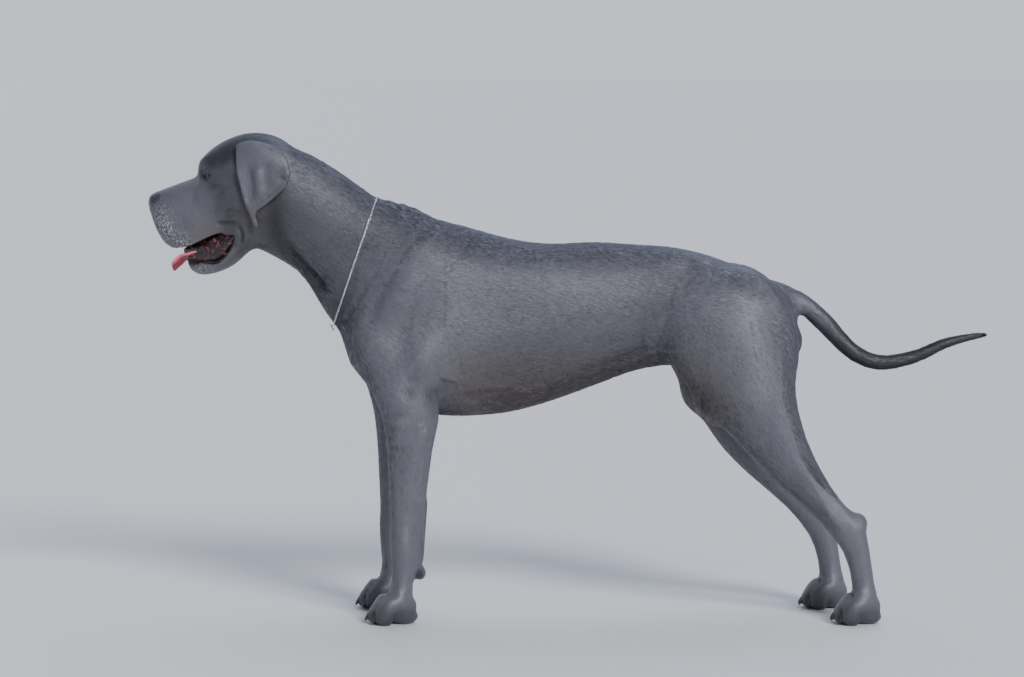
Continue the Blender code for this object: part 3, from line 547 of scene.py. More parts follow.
def near_spot(points, spot, radii):
    """1 at a spot, fading to 0 about the radii away from it."""
    return np.exp(-(((points - spot) / radii) ** 2).sum(axis=1))


def near_line(points, line, width):
    return np.exp(-(distance_to(np.array(line, float), points)[0] / width) ** 2)


# lines of the markings in the head's frame, and of the painted shadow behind the jaw, drawn on both sides
UPPER_LIP = ((0.018, 0.030, -0.116), (0.051, 0.037, -0.131), (0.101, 0.041, -0.129), (0.134, 0.043, -0.126),
             (0.150, 0.044, -0.130))
LOWER_LIP = ((0.036, 0.018, -0.142), (0.060, 0.030, -0.150), (0.076, 0.034, -0.160), (0.096, 0.037, -0.168),
             (0.118, 0.040, -0.158), (0.140, 0.043, -0.142))
# the painted shadow that the ear and jaw cast on the neck lies along this line
JAW_SHADOW_LINE = ((0.262, 0.075, -0.093), (0.240, 0.060, -0.130), (0.230, 0.055, -0.165), (0.236, 0.042, -0.215),
              (0.258, 0.034, -0.275))


def markings(points):
    """Of points of the skin: bare parts (leather, lip, callus), tones (dark, for darker hair and painted
    shade;
    white; warm), and how upright the hair lies."""
    back, across, up = in_head(points).T
    aside = np.abs(across)
    mirrored = np.column_stack((back, aside, up))
    x, _, z = points.T
    at_head = between(x, -0.52, -0.62)
    leather = between(np.interp(up, (-0.029, -0.004), (0.0205, 0.0315)) - back, -0.001, 0.001)
    leather *= between(up, -0.037, -0.033) * between(aside, 0.030, 0.026)
    leather = np.maximum(leather, between(z, 0.010, 0.004))  # and the pads
    for paw_x, side, track, *_ in PAWS.values():
        if paw_x < 0:
            stopper = (paw_x + 0.054, side * track, 0.100)
            leather = np.maximum(leather,
                                 between(near_spot(points, stopper, (0.012, 0.016, 0.014)), 0.30, 0.50))
    lip = np.maximum(near_line(mirrored, UPPER_LIP, 0.0042), near_line(mirrored, LOWER_LIP, 0.0055))
    inner = aside < np.interp(back, (0.006, 0.022, 0.050, 0.110, 0.140), (0.012, 0.026, 0.034, 0.039, 0.036))
    inner = inner & (up < np.interp(back, (0.01, 0.05, 0.14), (-0.112, -0.098, -0.104)))
    inner = inner & (up > -0.158) & (back < 0.145)
    lip = np.maximum(between(lip, 0.25, 0.55), inner & (back > 0.004))
    eye_rim = np.zeros(len(points))
    for side in SIDES:
        inside, out = lid_opening(points, side)
        eye_rim = np.maximum(eye_rim, between(inside, -0.0016, -0.0006) * (out < 0.018))
    lip = np.maximum(lip, eye_rim)
    callus = np.zeros(len(points))
    for side in SIDES:
        for spot_x, spot_z, size in ((-0.291, 0.403, 0.006), (-0.286, 0.393, 0.007), (-0.290, 0.379, 0.005)):
            spot = (spot_x - (RIGHT_FORE_LEAD if side > 0 else 0), side * 0.122, spot_z)
            callus = np.maximum(callus, between(near_spot(points, spot, (size, 0.03, size)), 0.15, 0.75))
    dark = np.maximum.reduce([
        0.34 * (1 - at_head) * between(x, -0.38, -0.46),  # neck: darker hair, partly painted shade
        0.26 * between(x, -0.20, -0.10) * between(x, 0.26, 0.16) * between(z, 0.42, 0.50),  # ribs: darker hair, partly painted shade
        0.40 * between(z, 0.70, 0.76) * between(x, 0.26, 0.14) * (1 - at_head),  # painted shade along the top of the back
        0.60 * near_spot(np.abs(points), (0.276, 0.08, 0.455), (0.034, 0.20, 0.032)),  # painted shade in the hollows of the groin and armpit
        # cheeks: darker hair, partly painted shade
        0.60 * at_head * between(back, 0.10, 0.16),
        0.88 * at_head * between(up, -0.025, 0.020) * between(back, 0.12, 0.16),  # skull: darker hair, partly painted shade
        # painted shadow behind the jaw and under the ear
        near_line(mirrored, JAW_SHADOW_LINE, 0.034),
        # painted shade in the hollow under each eye
        0.88 * near_spot(mirrored, (0.152, 0.055, -0.025), (0.020, 0.03, 0.016)),
        0.75 * near_spot(mirrored, (0.139, 0.046, 0.004), (0.016, 0.014, 0.012)),  # round the eye
        0.40 * near_spot(mirrored, (0.020, 0.020, -0.012), (0.026, 0.026, 0.020)),
        0.80 * between(x, 0.47, 0.56) * between(z, 0.44, 0.47),  # tail
        0.55 * between(z, 0.055, 0.020),  # toes
    ])
    flap = between(aside, 0.060, 0.066) * between(back, 0.195, 0.205) * at_head
    dark = dark * (1 - flap)
    white = np.maximum(0.85 * near_spot(mirrored, (0.022, 0.030, -0.066), (0.020, 0.03, 0.040)),
                       0.75 * near_spot(mirrored, (0.040, 0.030, -0.108), (0.020, 0.03, 0.026)))
    white = np.maximum(white, 0.75 * near_spot(mirrored, (0.052, 0.020, -0.176), (0.030, 0.04, 0.016)))
    warm = between(z, 0.60, 0.44) * between(x, -0.28, -0.20) * between(x, 0.40, 0.20) * between(z, 0.30, 0.40)
    warm = np.maximum(warm, 0.5 * at_head * between(up, -0.05, -0.11))
    upright = between(z, 0.56, 0.42)
    upright = np.maximum(upright, flap)
    upright = np.where((x > 0.47) & (z > 0.44), 0.0, upright)
    return np.column_stack((leather, lip, callus)), np.column_stack((dark, white, warm)), upright


def mark(thing, points):
    """Carries the markings of these points of the skin to the vertices of a piece."""
    bare, tones, upright = markings(points)
    set_attribute(thing, "bare", bare)
    set_attribute(thing, "tones", tones)
    set_attribute(thing, "upright", upright)


def set_attribute(thing, name, values):
    """One number, or one colour of three parts, for each vertex."""
    kind, field = ("FLOAT", "value") if values.ndim == 1 else ("FLOAT_COLOR", "color")
    if values.ndim == 2:
        values = np.column_stack((values, np.ones(len(values))))
    made = thing.data.attributes.new(name, kind, "POINT")
    made.data.foreach_set(field, values.astype(np.float32).ravel())


def add_node(tree, kind, links=None, **settings):
    """Adds a node with its settings; links maps its inputs to values or to other nodes' sockets."""
    made = tree.nodes.new("ShaderNode" + kind)
    for name, value in settings.items():
        setattr(made, name, value)
    for key, value in (links or {}).items():
        if isinstance(value, bpy.types.NodeSocket):
            tree.links.new(value, made.inputs[key])
        else:
            made.inputs[key].default_value = value
    return made


def new_material(name, **values):
    """A Principled material with constants on its sockets; their names have underscores for spaces."""
    made = bpy.data.materials.new(name)
    made.use_nodes = True
    skin = made.node_tree.nodes["Principled BSDF"]
    for key, value in values.items():
        skin.inputs[key.replace("_", " ")].default_value = value
    return made, made.node_tree, skin


def ramp_node(tree, factor, *stops):
    """A colour ramp through (place, hex) stops."""
    made = add_node(tree, "ValToRGB", {0: factor})
    for element, (spot, code) in zip(made.color_ramp.elements, stops[:2]):
        element.position, element.color = spot, linear(code)
    for spot, code in stops[2:]:
        made.color_ramp.elements.new(spot).color = linear(code)
    return made.outputs["Color"]


def mixed(tree, factor, first, second, kind="MIX"):
    """Two colours mixed; a hex value stands for a plain colour."""
    first, second = (linear(c) if isinstance(c, str) else c for c in (first, second))
    return add_node(tree, "Mix", {0: factor, 6: first, 7: second}, data_type="RGBA",
                    blend_type=kind).outputs[2]


def maths(tree, kind, first, second=0.0, third=0.0):
    return add_node(tree, "Math", {0: first, 1: second, 2: third}, operation=kind).outputs[0]


def blend_of(tree, share, first, second):
    """Two numbers mixed."""
    return add_node(tree, "Mix", {0: share, 2: first, 3: second}).outputs[0]


def noise(tree, places, scale, **inputs):
    return add_node(tree, "TexNoise", {"Vector": places, "Scale": scale, **inputs}).outputs["Fac"]


def places_on(tree):
    return add_node(tree, "TexCoord").outputs["Object"]


def value_of(tree, name):
    """A number that each corner of the piece has."""
    return add_node(tree, "Attribute", attribute_name=name).outputs["Fac"]


def roughen(tree, shader, height, strength, depth):
    """Fine relief on the surface, as a bump of so many metres."""
    relief = add_node(tree, "Bump", {"Height": height, "Strength": strength, "Distance": depth})
    tree.links.new(relief.outputs[0], shader.inputs["Normal"])


def colour_by(tree, shader, factor, *stops):
    """Colours the surface by a ramp through (place, hex) stops."""
    tree.links.new(ramp_node(tree, factor, *stops), shader.inputs["Base Color"])


# lying hair: each hair is 0.1 mm thick, too fine to show, so it is drawn as locks 1.5 mm wide and 7 mm long.
# Oil in the coat gives it a satin gloss, and its tips scatter light at the edges, as sheen does.
LOCK_WIDTH = 0.0015
LOCK_LENGTH = 0.0070
GRIZZLE_WIDTH = 0.0016  # white hairs round the lips show in streaks
GRIZZLE_LENGTH = 0.0040


def hair_material(name, bump_share, roughness):
    """Lying hair in the markings' colours; bump_share is 1 where it draws the locks, and 0 on tufts, which
    have a shape of their own."""
    made, tree, shader = new_material(name, Specular_IOR_Level=0.60, Sheen_Weight=0.10, Sheen_Roughness=0.40,
                                      Sheen_Tint=linear("#b4c2e6"))
    spot_at = places_on(tree)
    bare = add_node(tree, "SeparateColor",
                    {0: add_node(tree, "Attribute", attribute_name="bare").outputs["Color"]})
    tones = add_node(tree, "SeparateColor",
                     {0: add_node(tree, "Attribute", attribute_name="tones").outputs["Color"]})
    upright = value_of(tree, "upright")
    leather, lip, callus = bare.outputs
    dark, white, warm = tones.outputs
    locks = []
    for turn in (17, 84):  # degrees down from straight back: hair on the body, and on the legs
        lie = add_node(tree, "Mapping", {"Vector": spot_at, "Rotation": (0, math.radians(turn), 0),
                                         "Scale": (LOCK_LENGTH, LOCK_WIDTH, LOCK_WIDTH)},
                       vector_type="TEXTURE")
        locks.append(noise(tree, lie.outputs[0], 0.62, Detail=2.0, Roughness=0.6))
    lock = blend_of(tree, upright, *locks)
    cloud = noise(tree, spot_at, 9.0, Detail=4.0)
    patch = noise(tree, spot_at, 55.0, Detail=3.0)
    colour = mixed(tree, warm, "#55545b", "#524a47")
    # dark: darker hair, and painted shade behind the jaw, under the eyes, in the groin and armpits, and on
    # the head, neck, ribs and back
    colour = mixed(tree, dark, colour, "#17181d")
    shade = maths(tree, "MULTIPLY_ADD", lock, 0.50, 0.75)
    shade = maths(tree, "MULTIPLY", shade, maths(tree, "MULTIPLY_ADD", cloud, 0.22, 0.89))
    shade = maths(tree, "MULTIPLY", shade, maths(tree, "MULTIPLY_ADD", patch, 0.18, 0.91))
    tint = add_node(tree, "CombineColor", {0: shade, 1: shade, 2: shade}).outputs[0]
    colour = mixed(tree, 1.0, colour, tint, "MULTIPLY")
    strands = add_node(tree, "Mapping", {"Vector": spot_at, "Rotation": (0, math.radians(60), 0),
                                         "Scale": (GRIZZLE_LENGTH, GRIZZLE_WIDTH, GRIZZLE_WIDTH)},
                       vector_type="TEXTURE")
    strand = noise(tree, strands.outputs[0], 0.8, Detail=2.0)
    colour = mixed(tree, maths(tree, "MULTIPLY", white, 0.8), colour,
                   ramp_node(tree, strand, (0.42, "#26262c"), (0.52, "#5c5c62"), (0.62, "#c4c3c6")))
    worn = add_node(tree, "MapRange", {"Value": patch, "From Min": 0.42, "From Max": 0.56}).outputs[0]
    colour = mixed(tree, maths(tree, "MULTIPLY", callus, worn), colour, "#776965")
    cells = add_node(tree, "TexVoronoi", {"Vector": spot_at, "Scale": 520.0})
    colour = mixed(tree, leather, colour,
                   ramp_node(tree, cells.outputs["Distance"], (0.0, "#3a3f4b"), (0.8, "#191b22")))
    colour = mixed(tree, lip, colour, ramp_node(tree, patch, (0.35, "#121216"), (0.62, "#2f2a2e")))
    tree.links.new(colour, shader.inputs["Base Color"])
    dull = maths(tree, "MULTIPLY_ADD", lock, 0.22, roughness)
    dull = blend_of(tree, leather, dull, 0.30)
    dull = blend_of(tree, lip, dull, 0.20)
    dull = blend_of(tree, callus, dull, 0.60)
    tree.links.new(dull, shader.inputs["Roughness"])
    hairless = maths(tree, "MAXIMUM", leather, lip)
    grain = maths(tree, "MULTIPLY", cells.outputs["Distance"], 0.35)
    height = blend_of(tree, hairless, lock, grain)
    roughen(tree, shader, height, 0.45 * bump_share, 0.0012)
    return made


fur = hair_material("short_blue_hair", 1.0, 0.38)
mark(hide, points_of(hide))
hide.data.materials.clear()
hide.data.materials.append(fur)
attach(hide, "root")
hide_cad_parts(*FLESH)


# Eyes
# Balls of clear wet jelly deep in their sockets, held by the lids: a black pupil in a dark blue-grey iris,
# and round it the white of the eye, stained brown.

EYE_SPAN = 40  # faces round an eyeball


def look_along(side):
    """Turns a ball's z axis to where one eye looks, and puts it in its socket."""
    forward, _, up = eye_axes(side)
    turned = np.eye(4)
    turned[:3, 0], turned[:3, 1], turned[:3, 2] = up, np.cross(forward, up), forward
    turned[:3, 3] = EYE_CENTRES[SIDES.index(side)]
    return Matrix(turned.tolist())


# living eye: clear wet cornea, so a sharp bright highlight over a dark iris with fine rays
eye_jelly, tree, shader = new_material("living_eye", Roughness=0.05, IOR=1.376)
gaze = value_of(tree, "gaze")
rays = noise(tree, places_on(tree), 900.0)
stained = maths(tree, "MULTIPLY_ADD", rays, 0.03, gaze)
colour_by(tree, shader, stained, (0.100, "#030304"), (0.115, "#1f1e22"), (0.22, "#3c4351"),
          (0.265, "#0c0c10"),
          (0.300, "#1f1b1c"), (0.42, "#45474d"), (0.60, "#4a3f3e"))
for side, word in zip(SIDES, ("left", "right")):
    bpy.ops.mesh.primitive_uv_sphere_add(segments=EYE_SPAN, ring_count=EYE_SPAN, radius=EYE_RADIUS,
                                         location=(0, 0, 0))
    eyeball = bpy.context.object
    eyeball.name = "eyeball_" + word
    round_points = points_of(eyeball)
    from_axis = np.arccos(np.clip(round_points[:, 2] / EYE_RADIUS, -1, 1))
    set_attribute(eyeball, "gaze", from_axis / math.pi)
    round_points *= (1 + 0.05 * between(from_axis, 0.75, 0.15))[:, None]  # the cornea stands proud
    set_points(eyeball, round_points)
    eyeball.data.transform(look_along(side))
    eyeball.data.shade_smooth()
    eyeball.data.materials.append(eye_jelly)
    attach(eyeball, "root")
    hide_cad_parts("eye_" + word)

# Wet rims of the lids A bead of wet bare skin along the edge of each lid, near black above and blue-grey
# below, where the blue-grey is a painted reflection of the sky on the wet rim where tears gather. It grows
# with the lid, and lies half sunk between the lid and the eyeball.

RIM_STEPS = 24
RIM_RADIUS = 0.0008
lid_skin, tree, shader = new_material("wet_lid_skin", Roughness=0.12, Coat_Weight=0.6, Coat_Roughness=0.04)
# the lower rim's blue-grey is a painted reflection of the sky on the wet skin
colour_by(tree, shader, value_of(tree, "lower"), (0.45, "#101014"), (0.85, "#39404e"))
for side, word in zip(SIDES, ("left", "right")):
    forward, back, up = eye_axes(side)
    rim = []
    for i in range(2 * RIM_STEPS):
        u = LID_HALF * 0.995 * math.cos(math.pi * i / RIM_STEPS)
        curve = max(0.0, 1 - (u / LID_HALF) ** 2)
        v = LID_TOP * curve ** 0.75 if i < RIM_STEPS else -LID_BOTTOM * curve ** 0.65
        v -= 0.12 * u
        out = math.sqrt(EYE_RADIUS ** 2 - u * u - v * v)
        ray = back * u + up * v + forward * out
        rim.append(EYE_CENTRES[SIDES.index(side)] + ray / np.linalg.norm(ray)
                   * (EYE_RADIUS + RIM_RADIUS * 0.5))
    curve = bpy.data.curves.new("wet_rim_" + word, "CURVE")
    curve.dimensions = "3D"
    curve.bevel_depth = RIM_RADIUS
    curve.bevel_resolution = 2
    spline = curve.splines.new("POLY")
    spline.points.add(len(rim) - 1)
    spline.points.foreach_set("co", np.column_stack((rim, np.ones(len(rim)))).ravel())
    spline.use_cyclic_u = True
    bead = added("wet_rim_" + word, curve)
    pick(bead)
    bpy.ops.object.convert(target="MESH")
    bead = bpy.context.object
    offset = (points_of(bead) - EYE_CENTRES[SIDES.index(side)]) @ up
    set_attribute(bead, "lower", between(offset, 0.002, -0.005))
    bead.data.shade_smooth()
    bead.data.materials.append(lid_skin)
    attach(bead, "root")


# Inside of the mouth
# The everted lower lip and the cheeks inside the mouth: wet flesh, black with pale and dark red mottling,
# which fills the gap between the lips as far forward as the tongue.



def cut_across(thing, count, length=1.0):
    """Cuts a tube that stands on z into rings of equal height."""
    edit_all(thing, bpy.ops.mesh.bisect,
             [{"plane_co": (0, 0, (i / count - 0.5) * length), "plane_no": (0, 0, 1)}
                                          for i in range(1, count)])


def new_tube(name, sides, rows):
    """A round tube of radius 1 and length 1 that stands on z, with closed ends."""
    bpy.ops.mesh.primitive_cylinder_add(vertices=sides, radius=1, depth=1, end_fill_type="TRIFAN",
                                        location=(0, 0, 0))
    made = bpy.context.object
    made.name = name
    cut_across(made, rows)
    return made


def round_off(thing):
    """Divides the faces once into a rounder form, turns them outwards and shades them smooth."""
    divide = thing.modifiers.new("divide", "SUBSURF")
    divide.levels = divide.render_levels = 1
    apply_all(thing)
    edit_all(thing, bpy.ops.mesh.normals_make_consistent, [{"inside": False}])
    thing.data.shade_smooth()


LINING_ROWS = 26
LINING_SIDES = 40
LINING = (  # place behind the nose, half width, bottom, top
    (0.030, 0.003, -0.146, -0.119), (0.038, 0.010, -0.152, -0.117), (0.048, 0.017, -0.160, -0.115),
    (0.060, 0.0240, -0.167, -0.112), (0.076, 0.0305, -0.172, -0.110), (0.096, 0.0365, -0.175, -0.108),
    (0.118, 0.0410, -0.167, -0.108), (0.136, 0.0420, -0.154, -0.110), (0.150, 0.039, -0.142, -0.116),
    (0.158, 0.030, -0.134, -0.122))
lining = new_tube("mouth_lining", LINING_SIDES, LINING_ROWS)
tube = points_of(lining)
rows = np.array(LINING)
step = np.interp(tube[:, 2] + 0.5, np.linspace(0, 1, len(rows)), rows[:, 0])
half, bottom, top = (np.interp(step, rows[:, 0], rows[:, k]) for k in (1, 2, 3))
across = np.sign(tube[:, 0]) * np.abs(tube[:, 0]) ** 0.7
rise = np.sign(tube[:, 1]) * np.abs(tube[:, 1]) ** 0.8
folds = 0.0012 * np.sin(step * 900 + rise * 4) * np.sin(rise * 9 + step * 260)
folds += 0.0009 * np.sin(step * 2100 + rise * 13)
inset = 0.0035 * between(rise, -0.2, 0.5)  # the lip turns out below and in above
tube = np.column_stack((step, across * (half - inset + folds),
                        (bottom + top) / 2 + rise * (top - bottom) / 2))
set_points(lining, from_head(tube))
round_off(lining)

# wet gum: spit keeps it glossy, so broken highlights over black, red and whitish patches 2 to 4 mm across
gum, tree, shader = new_material("wet_gum", Roughness=0.26, Coat_Weight=0.25, Coat_Roughness=0.08,
                                 Subsurface_Weight=0.1)
spot_at = places_on(tree)
patches = noise(tree, spot_at, 150.0, Detail=4.0, Distortion=0.3)
grit = add_node(tree, "TexVoronoi", {"Vector": spot_at, "Scale": 420.0})
colour_by(tree, shader, patches, (0.42, "#0b0a0d"), (0.52, "#1a1215"), (0.58, "#561a1f"),
          (0.63, "#7a3438"), (0.66, "#2a1b1d"), (0.72, "#8a7476"))
roughen(tree, shader, grit.outputs["Distance"], 0.5, 0.0005)
lining.data.materials.append(gum)
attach(lining, "root")

# Tongue A wet muscle that lies in the mouth and hangs a little out over the chin, its edges curled up to a
# trough and its tip turned down, pink above and dark red below, the dark red being painted shade on its
# underside.

TONGUE_ROWS = 30
TONGUE_SIDES = 28
TONGUE = (  # place behind the nose, height, half width, half thickness, curl of the edges
    (0.132, -0.1400, 0.015, 0.0045, 0.002), (0.100, -0.1400, 0.022, 0.0060, 0.003),
    (0.070, -0.1380, 0.022, 0.0055, 0.005), (0.045, -0.1350, 0.0205, 0.0042, 0.0085),
    (0.027, -0.1345, 0.0190, 0.0034, 0.0125), (0.014, -0.1395, 0.0180, 0.0030, 0.0175),
    (0.004, -0.1434, 0.0160, 0.0027, 0.0165), (-0.002, -0.1472, 0.0120, 0.0024, 0.0120),
    (-0.0048, -0.1490, 0.0060, 0.0020, 0.0060))
tongue = new_tube("tongue_muscle", TONGUE_SIDES, TONGUE_ROWS)
tube = points_of(tongue)
rows = np.array(TONGUE)
spine = smoothed(rows[:, [0, 1, 1]] * (1, 0, 1), 0.002)
run = run_along(spine)
run /= run[-1]
knots = run_along(rows[:, :2])
knots /= knots[-1]
t = tube[:, 2] + 0.5
centre = np.stack([np.interp(t, run, spine[:, k]) for k in (0, 2)], axis=1)
half, thick, curl = (np.interp(t, knots, rows[:, k]) for k in (2, 3, 4))
round_tip = np.sqrt(np.clip(1 - between(t, 0.97, 1.0) ** 2, 0.05, 1))
across = tube[:, 0]
wobble = 0.0008 * np.sin(t * 30 + across * 3)
height = centre[:, 1] + tube[:, 1] * thick * round_tip + curl * across ** 2 - 0.4 * curl + wobble
furrow = 0.0012 * np.exp(-(across / 0.16) ** 2) * (tube[:, 1] > 0)
set_points(tongue, from_head(np.column_stack((centre[:, 0], across * half * round_tip, height - furrow))))
# under: how far a point lies on the underside, which the material darkens to red as painted shade
set_attribute(tongue, "under", between(tube[:, 1], 0.25, -0.35) * between(np.abs(across), 0.98, 0.70))
round_off(tongue)

# wet tongue: soft light passes through its edge, and papillae about 1 mm apart break its gloss
wet_tongue, tree, shader = new_material("wet_tongue", Roughness=0.30, Coat_Weight=0.35, Coat_Roughness=0.10,
                                        Subsurface_Weight=0.25, Subsurface_Scale=0.004)
spot_at = places_on(tree)
blotch = noise(tree, spot_at, 160.0, Detail=3.0)
blend = maths(tree, "MULTIPLY_ADD", blotch, 0.30, value_of(tree, "under"))
# dark red towards the underside is painted shade
colour_by(tree, shader, blend, (0.08, "#e58f9d"), (0.30, "#d4697b"), (0.75, "#a8323f"), (1.0, "#7c1c28"))
papillae = add_node(tree, "TexVoronoi", {"Vector": spot_at, "Scale": 900.0})
roughen(tree, shader, papillae.outputs["Distance"], 0.35, 0.0006)
tongue.data.materials.append(wet_tongue)
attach(tongue, "root")
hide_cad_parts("tongue")


# Claws
# Short blunt claws of black horn, four on each paw, which grow out of the toes and curve down just clear of
# the ground, and one dewclaw inside each fore leg.

CLAW_LENGTH = 0.0155
CLAW_RADIUS = 0.0042
CLAW_TIP = 0.0020
CLAW_SEAT = (0.0085, 0.0185)  # behind the tip of the toe, and height
CLAW_PITCH = -26  # degrees
DEWCLAW_PLACE = (0.013, 0.0275, 0.100)  # behind the middle of the sole, inwards, and height
DEWCLAW_PITCH = -48
DEWCLAW_SIZE = 0.85
bpy.ops.mesh.primitive_cone_add(vertices=14, radius1=CLAW_RADIUS, radius2=CLAW_TIP, depth=CLAW_LENGTH,
                                location=(0, 0, 0))
claw = bpy.context.object
cut_across(claw, 8, CLAW_LENGTH)
horn_points = points_of(claw)
t = horn_points[:, 2] / CLAW_LENGTH + 0.5
bulge = 1 + 0.22 * np.sin(math.pi * np.clip(t * 1.15, 0, 1))
horn_points[:, 0] = horn_points[:, 0] * bulge * 0.82  # narrower than it is deep
horn_points[:, 1] = horn_points[:, 1] * bulge - 0.0052 * t ** 2  # and curved down
claw_model = np.column_stack((-horn_points[:, 2] - CLAW_LENGTH / 2, horn_points[:, 0], horn_points[:, 1]))
set_points(claw, claw_model)
claw.data.shade_smooth()


def copies(original, name, spots):
    """One mesh of many copies of a small model, each at a 4 by 4 matrix."""
    shape = points_of(original)
    faces = faces_of(original)
    everything = np.concatenate([shape @ spot[:3, :3].T + spot[:3, 3] for spot in spots])
    every_face = [[i + n * len(shape) for i in face] for n in range(len(spots)) for face in faces]
    joined = bpy.data.meshes.new(name)
    joined.from_pydata(everything.tolist(), [], every_face)
    joined.shade_smooth()
    return added(name, joined)


def placed(spot, pitch=0.0, turn=0.0, size=1.0):
    """A matrix that pitches by degrees about y, turns by degrees about z and moves to a spot."""
    made = Matrix.Translation(spot) @ Matrix.Rotation(math.radians(turn), 4, "Z")
    made = made @ Matrix.Rotation(math.radians(pitch), 4, "Y") @ Matrix.Scale(size, 4)
    return np.array(made)


# horn: near black to dark grey, with growth lines along it and a dull polish
horn, tree, shader = new_material("black_horn", Roughness=0.34, IOR=1.54, Specular_IOR_Level=0.45)
spot_at = places_on(tree)
along_claw = add_node(tree, "Mapping", {"Vector": spot_at, "Scale": (60.0, 900.0, 500.0)})
lines = noise(tree, along_claw.outputs[0], 1.0, Detail=2.0)
colour_by(tree, shader, lines, (0.30, "#17171a"), (0.70, "#3c3a3b"))
roughen(tree, shader, lines, 0.3, 0.0005)
for paw, (paw_x, side, track, length, width) in PAWS.items():
    spots = []
    for slot in TOE_SLOTS:
        tip_x, tip_y = toe_tip(paw, slot)
        spots.append(placed((tip_x + CLAW_SEAT[0], tip_y, CLAW_SEAT[1]), CLAW_PITCH, turn=-slot * 3))
    if "fore" in paw:
        back, inward, high = DEWCLAW_PLACE
        dewclaw = (paw_x + back, side * track - side * inward, high)
        spots.append(placed(dewclaw, DEWCLAW_PITCH, side * 12, DEWCLAW_SIZE))
    claws = copies(claw, "claws_" + paw, spots)
    claws.data.materials.append(horn)
    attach(claws, "root")
bpy.data.objects.remove(claw)


# Collar
# A show chain of fine oval steel links, each turned a quarter from the last, that lies loose on the coat from
# behind the nape down to the base of the throat, closed by a small ring.

CHAIN_TOP = Vector((-0.3801, 0.0, 0.8453))
CHAIN_FOOT = Vector((-0.4681, 0.0, 0.5883))
LINK_RADIUS = 0.0021
WIRE_RADIUS = 0.00062
LINK_STRETCH = 1.35
LINK_PITCH = 0.0041
RING_RADIUS = 0.0065
CHAIN_RAYS = 96
CHAIN_REACH = 0.35  # the rays start this far out
CHAIN_CLEARANCE = 0.0030  # from the hide to the middle of the links
BRIDGING = 6  # rounds in which a loose chain bridges the hollows

skin_tree = BVHTree.FromPolygons(points_of(hide).tolist(), faces_of(hide))
chain_middle = (CHAIN_TOP + CHAIN_FOOT) / 2
upward = (CHAIN_TOP - CHAIN_FOOT).normalized()
sideways = Vector((0, 1, 0))
reach = []
for i in range(CHAIN_RAYS):
    angle = 2 * math.pi * i / CHAIN_RAYS
    ray = upward * math.cos(angle) + sideways * math.sin(angle)
    hit = skin_tree.ray_cast(chain_middle + ray * CHAIN_REACH, -ray)[0]
    reach.append((hit - chain_middle).length)
reach = np.array(reach)
for _ in range(BRIDGING):
    reach = np.maximum(reach, (np.roll(reach, 1) + np.roll(reach, -1)) / 2)
reach += CHAIN_CLEARANCE
angles = np.linspace(0, 2 * math.pi, CHAIN_RAYS, endpoint=False)
loop = np.outer(reach * np.cos(angles), upward) + np.outer(reach * np.sin(angles), sideways)
loop = loop + np.array(chain_middle)
loop = np.vstack((loop, loop[:1]))
run = run_along(loop)
link_count = 2 * round(run[-1] / LINK_PITCH / 2)
stations = np.linspace(0, run[-1], link_count, endpoint=False)
centres = np.stack([np.interp(stations, run, loop[:, k]) for k in range(3)], axis=1)

bpy.ops.mesh.primitive_torus_add(major_segments=14, minor_segments=6, major_radius=LINK_RADIUS,
                                 minor_radius=WIRE_RADIUS,
                                 location=(0, 0, 0))
link = bpy.context.object
set_points(link, points_of(link) * (LINK_STRETCH, 0.86, 1))
spots = []
for i, centre in enumerate(centres):
    ahead = centres[(i + 1) % link_count] - centres[i - 1]
    ahead /= np.linalg.norm(ahead)
    outward = centre - np.array(chain_middle)
    outward -= ahead * (outward @ ahead)
    outward /= np.linalg.norm(outward)
    lean = math.radians(45 if i % 2 else -45)
    flat = outward * math.cos(lean) + np.cross(ahead, outward) * math.sin(lean)
    turned = np.eye(4)
    turned[:3, 0], turned[:3, 1], turned[:3, 2], turned[:3, 3] = ahead, np.cross(flat, ahead), flat, centre
    spots.append(turned)
chain = copies(link, "chain_links", spots)

# polished steel: small mirror-like highlights, with a fine dull wear where link rubs on link
steel, tree, shader = new_material("polished_steel", Metallic=1.0, Roughness=0.2)
worn = noise(tree, places_on(tree), 700.0)
colour_by(tree, shader, worn, (0.35, "#f1f0ec"), (0.75, "#b9b8b4"))
dull = add_node(tree, "MapRange", {"Value": worn, "To Min": 0.12, "To Max": 0.34})
tree.links.new(dull.outputs[0], shader.inputs["Roughness"])
chain.data.materials.append(steel)
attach(chain, "root")
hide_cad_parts("chain_collar")
bpy.data.objects.remove(link)

foot = centres[np.argmin(centres[:, 2])]
bpy.ops.mesh.primitive_torus_add(major_segments=32, minor_segments=10, major_radius=RING_RADIUS,
                                 minor_radius=0.0010,
                                 location=(0, 0, 0))
ring = bpy.context.object
ring.name = "chain_ring"
ring.data.transform(Matrix.Translation(Vector(foot) + Vector((-0.0035, 0, -RING_RADIUS * 0.8)))
                    @ Matrix.Rotation(math.radians(62), 4, "Y"))
ring.data.shade_smooth()
ring.data.materials.append(steel)
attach(ring, "root")


# Coat
# Hair 2 to 16 mm long that grows out of the hide all over, lies back and down along the body, and breaks its
# outline a little: shortest on the face and feet, and longest behind the thighs and under the belly and tail.

PART_NAMES = list(FLESH)
part_tree = KDTree(sum(len(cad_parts[name].data.vertices) for name in PART_NAMES))
owners = []
for number, name in enumerate(PART_NAMES):
    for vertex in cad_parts[name].data.vertices:
        part_tree.insert(vertex.co, len(owners))
        owners.append(number)
part_tree.balance()
hide_points = points_of(hide)
hide_normals = normals_of(hide)

